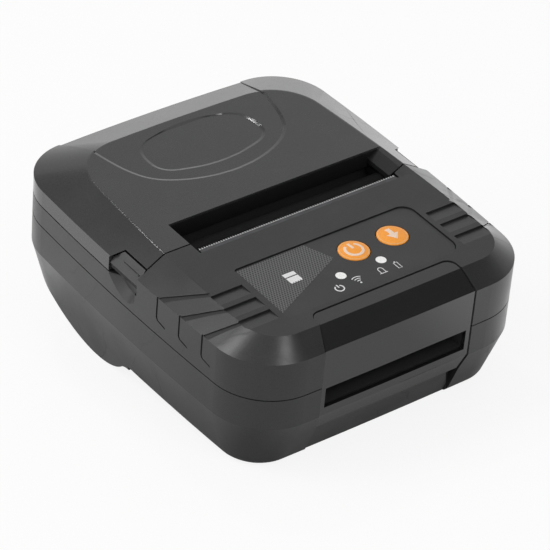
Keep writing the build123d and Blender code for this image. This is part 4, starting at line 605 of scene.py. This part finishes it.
# Thin printed marks, drawn in plan in millimetres and laid on a height
class Print:
    def __init__(self, name, thick=0.03, root=0.03):
        self.name = name
        self.thick = thick
        self.root = root
        self.work = bmesh.new()

    def polygon(self, points, height):
        low = [self.work.verts.new((x, y, height(x, y) - self.root)) for x, y in points]
        top = [self.work.verts.new((x, y, height(x, y) + self.thick)) for x, y in points]
        count = len(points)
        for i in range(count):
            self.work.faces.new((low[i], low[(i + 1) % count], top[(i + 1) % count], top[i]))
        self.work.faces.new(top)
        self.work.faces.new(list(reversed(low)))

    # A stroke of one width along a line of points
    def stroke(self, points, width, height, closed=False):
        count = len(points)
        sides = []
        for i, (x, y) in enumerate(points):
            before = points[i - 1] if i or closed else points[i]
            after = points[(i + 1) % count] if i + 1 < count or closed else points[i]
            run = Vector((after[0] - before[0], after[1] - before[1])).normalized()
            sides.append(((x - run.y * width / 2, y + run.x * width / 2),
                          (x + run.y * width / 2, y - run.x * width / 2)))
        for i in range(count if closed else count - 1):
            a, b = sides[i], sides[(i + 1) % count]
            self.polygon([a[0], a[1], b[1], b[0]][::-1], height)

    def arc(self, x, y, r, start, end, width, height, steps=20):
        turn = [math.radians(start + (end - start) * i / steps) for i in range(steps + 1)]
        self.stroke([(x + r * math.cos(t), y + r * math.sin(t)) for t in turn], width, height)

    def disc(self, x, y, r, height, steps=24):
        turn = [2 * math.pi * i / steps for i in range(steps)]
        self.polygon([(x + r * math.cos(t), y + r * math.sin(t)) for t in turn], height)

    # A strip that falls from an edge line towards a point beside it
    def slope(self, edge, centre, width, top, drop):
        rows = []
        for i, place in enumerate(edge):
            run = (edge[min(i + 1, len(edge) - 1)] - edge[max(i - 1, 0)]).normalized()
            inward = Vector((-run.y, run.x))
            if inward.dot(centre - place) < 0:
                inward = -inward
            foot = place + inward * width
            rows.append([self.work.verts.new(one) for one in (
                (place.x, place.y, top), (foot.x, foot.y, top - drop), (place.x, place.y, top - drop - 0.1))])
        for a, b in zip(rows, rows[1:]):
            for k in range(3):
                self.work.faces.new((a[k], b[k], b[(k + 1) % 3], a[(k + 1) % 3]))
        self.work.faces.new(rows[0])
        self.work.faces.new(rows[-1][::-1])

    def lay(self, body, material):
        mesh = bpy.data.meshes.new(self.name)
        bmesh.ops.recalc_face_normals(self.work, faces=self.work.faces)
        self.work.to_mesh(mesh)
        self.work.free()
        mesh.transform(LIE @ MM)
        piece = bpy.data.objects.new(self.name, mesh)
        bpy.context.scene.collection.objects.link(piece)
        mesh.materials.append(material)
        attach(piece, body)


def on_field(x, y):
    return FIELD_TOP_Z


def on_button(centre_x):
    def height(x, y):
        reach = (x - centre_x) ** 2 + (y - BUTTON_Y) ** 2
        return BUTTON_TOP_Z - BUTTON_DOME_R + math.sqrt(BUTTON_DOME_R ** 2 - reach) + 0.03
    return height


# Signs under the two lights: power, wireless, paper and battery
def print_signs(ink):
    signs = Print("key_signs")
    x, y = POWER_SIGN
    signs.arc(x, y, 1.5, 122, 418, 0.45, on_field)
    signs.stroke([(x, y + 0.3), (x, y + 1.9)], 0.45, on_field)
    x, y = WIRELESS_SIGN
    signs.disc(x, y, 0.36, on_field, 12)
    for r in (1.2, 2.2, 3.2):
        signs.arc(x, y, r, 57, 123, 0.32, on_field, 10)
    x, y = PAPER_SIGN
    signs.stroke([(x - 0.9, y - 1.3), (x - 0.9, y + 0.7)], 0.26, on_field)
    signs.arc(x, y + 0.7, 0.9, 0, 180, 0.26, on_field, 10)
    signs.stroke([(x + 0.9, y + 0.7), (x + 0.9, y - 1.3)], 0.26, on_field)
    signs.stroke([(x - 1.5, y - 1.3), (x + 1.5, y - 1.3)], 0.26, on_field)
    x, y = BATTERY_SIGN
    signs.stroke([(x - 0.65, y - 1.6), (x + 0.65, y - 1.6), (x + 0.65, y + 1.5), (x - 0.65, y + 1.5)],
                 0.24, on_field, closed=True)
    signs.stroke([(x, y + 1.5), (x, y + 2.0)], 0.5, on_field)
    signs.lay("base", ink)


# A plain receipt sign on the woven patch: a slip with a torn foot and two bare lines
def print_slip(ink):
    slip = Print("slip_sign")
    x, y = SLIP_SIGN

    def height(px, py):
        return FIELD_TOP_Z + 0.05

    teeth = 5
    wide = 4.6
    foot = [(x - wide / 2 + wide * i / (2 * teeth), y - 2.2 - (0.6 if i % 2 else 0.0))
            for i in range(2 * teeth + 1)]
    slip.polygon(foot + [(x + wide / 2, y + 0.3), (x - wide / 2, y + 0.3)], height)
    slip.polygon([(x - wide / 2, y + 0.8), (x + wide / 2, y + 0.8), (x + wide / 2, y + 2.6),
                  (x - wide / 2, y + 2.6)], height)
    slip.lay("base", ink)


# Woven patch: a printed four-sided field with a fine basket weave
def print_weave(finish):
    patch = Print("woven_patch", 0.02)
    corners = [(-34.5, 42.9), (-34.7, 17.8), (-3.3, 32.5), (-7.6, 43.2)]
    patch.polygon(corners, lambda x, y: FIELD_TOP_Z + 0.02)
    patch.lay("base", finish)


# The power sign and a plain arrow, laid on the domes of the two buttons
def print_button_signs(ink):
    power = Print("power_button_sign", root=0.3)
    height = on_button(POWER_X)
    power.arc(POWER_X, BUTTON_Y, 3.0, 124, 416, 0.95, height, 28)
    power.stroke([(POWER_X, BUTTON_Y + 0.4), (POWER_X, BUTTON_Y + 3.5)], 0.95, height)
    power.lay("power_key", ink)
    feed = Print("feed_button_sign", 0.06, 0.3)
    height = on_button(FEED_X)
    x, y = FEED_X, BUTTON_Y
    for low in (0.2, 1.2, 2.2):
        feed.stroke([(x, y + low), (x, y + low + 1.0)], 1.7, height)
    for side in (-1, 1):
        feed.polygon([(x, y + 0.2), (x + side * 2.4, y + 0.2), (x + side * 1.2, y - 1.2), (x, y - 1.2)],
                     height)
        feed.polygon([(x, y - 1.2), (x + side * 1.2, y - 1.2), (x, y - 2.8)], height)
    feed.lay("feed_key", ink)


# A paler ring round each button's edge, a painted highlight
def print_rim_highlights(ink):
    for name, x, body in (("power_button_rim_highlight", POWER_X, "power_key"),
                          ("feed_button_rim_highlight", FEED_X, "feed_key")):
        rim = Print(name, root=0.3)
        rim.arc(x, BUTTON_Y, 4.8, 0, 360, 0.35, on_button(x), 48)
        rim.lay(body, ink)


# A smooth line through points, by four short steps between each two
def smooth_line(points):
    points = [Vector(one) for one in points]
    line = []
    for i in range(len(points) - 1):
        a, b = points[i], points[i + 1]
        before = points[i - 1] if i else a
        after = points[i + 2] if i + 2 < len(points) else b
        for t in (0, 0.25, 0.5, 0.75):
            line.append(0.5 * (2 * a + (b - before) * t + (2 * before - 5 * a + 4 * b - after) * t * t
                               + (3 * a - before - 3 * b + after) * t ** 3))
    return line + [points[-1]]


# Sloped edges of the lid's two sunk fields, carried round their turns at full width
def lay_slopes(finish):
    slopes = Print("sunk_field_slopes")
    centre = Vector((SUNK_X, LENGTH - 25))
    for turn, top in ((TONGUE_TURN, DECK_Z), (LOOP_TURN, DECK_Z - SUNK_DEPTH)):
        line = smooth_line(turn)
        for side in (-1, 1):
            edge = [Vector((SUNK_X + side * half, LENGTH - back)) for half, back in line]
            slopes.slope(edge, centre, SLOPE_W, top + 0.015, SUNK_DEPTH)
    slopes.lay("lid", finish)


# Breaks the sharp edges of a moulding by a small radius
def soften_edges(node, radius_mm):
    flat = node.modifiers.new("join_flats", "DECIMATE")
    flat.decimate_type = "DISSOLVE"
    flat.angle_limit = math.radians(0.6)
    edge = node.modifiers.new("edge_break", "BEVEL")
    edge.width = radius_mm / 1000
    edge.segments = 2
    edge.limit_method = "ANGLE"
    edge.angle_limit = math.radians(28)
    edge.use_clamp_overlap = True
    edge.harden_normals = True


# Nodes with a finish of their own, apart from their material's
OWN_FINISH = {"tear_bar": "toothed_steel", "card_guide": "guide_black"}


def dress_nodes():
    slots = {one["node"]: one["material_slot"] for one in frame["record"]["subparts"]}
    for name, node in frame["nodes"].items():
        node.data.materials.clear()
        node.data.materials.append(FINISHES[OWN_FINISH.get(name, slots[name])])


dress_nodes()
SIGN_WHITE = ink("sign_white", (0.8, 0.8, 0.8))
print_signs(SIGN_WHITE)
print_slip(SIGN_WHITE)
print_weave(woven("weave_grey", grey(0.016), grey(0.13)))
PALE_ORANGE = ink("pale_orange", (0.90, 0.70, 0.55))
print_button_signs(PALE_ORANGE)
# painted highlight: the paler rings on the buttons' edges
print_rim_highlights(ink("rim_highlight_orange", (0.90, 0.46, 0.16)))
lay_slopes(FINISHES["lid_black"])
for name in ("lower_housing", "upper_housing", "lid_cover", "front_panel"):
    soften_edges(frame["nodes"][name], 0.3)
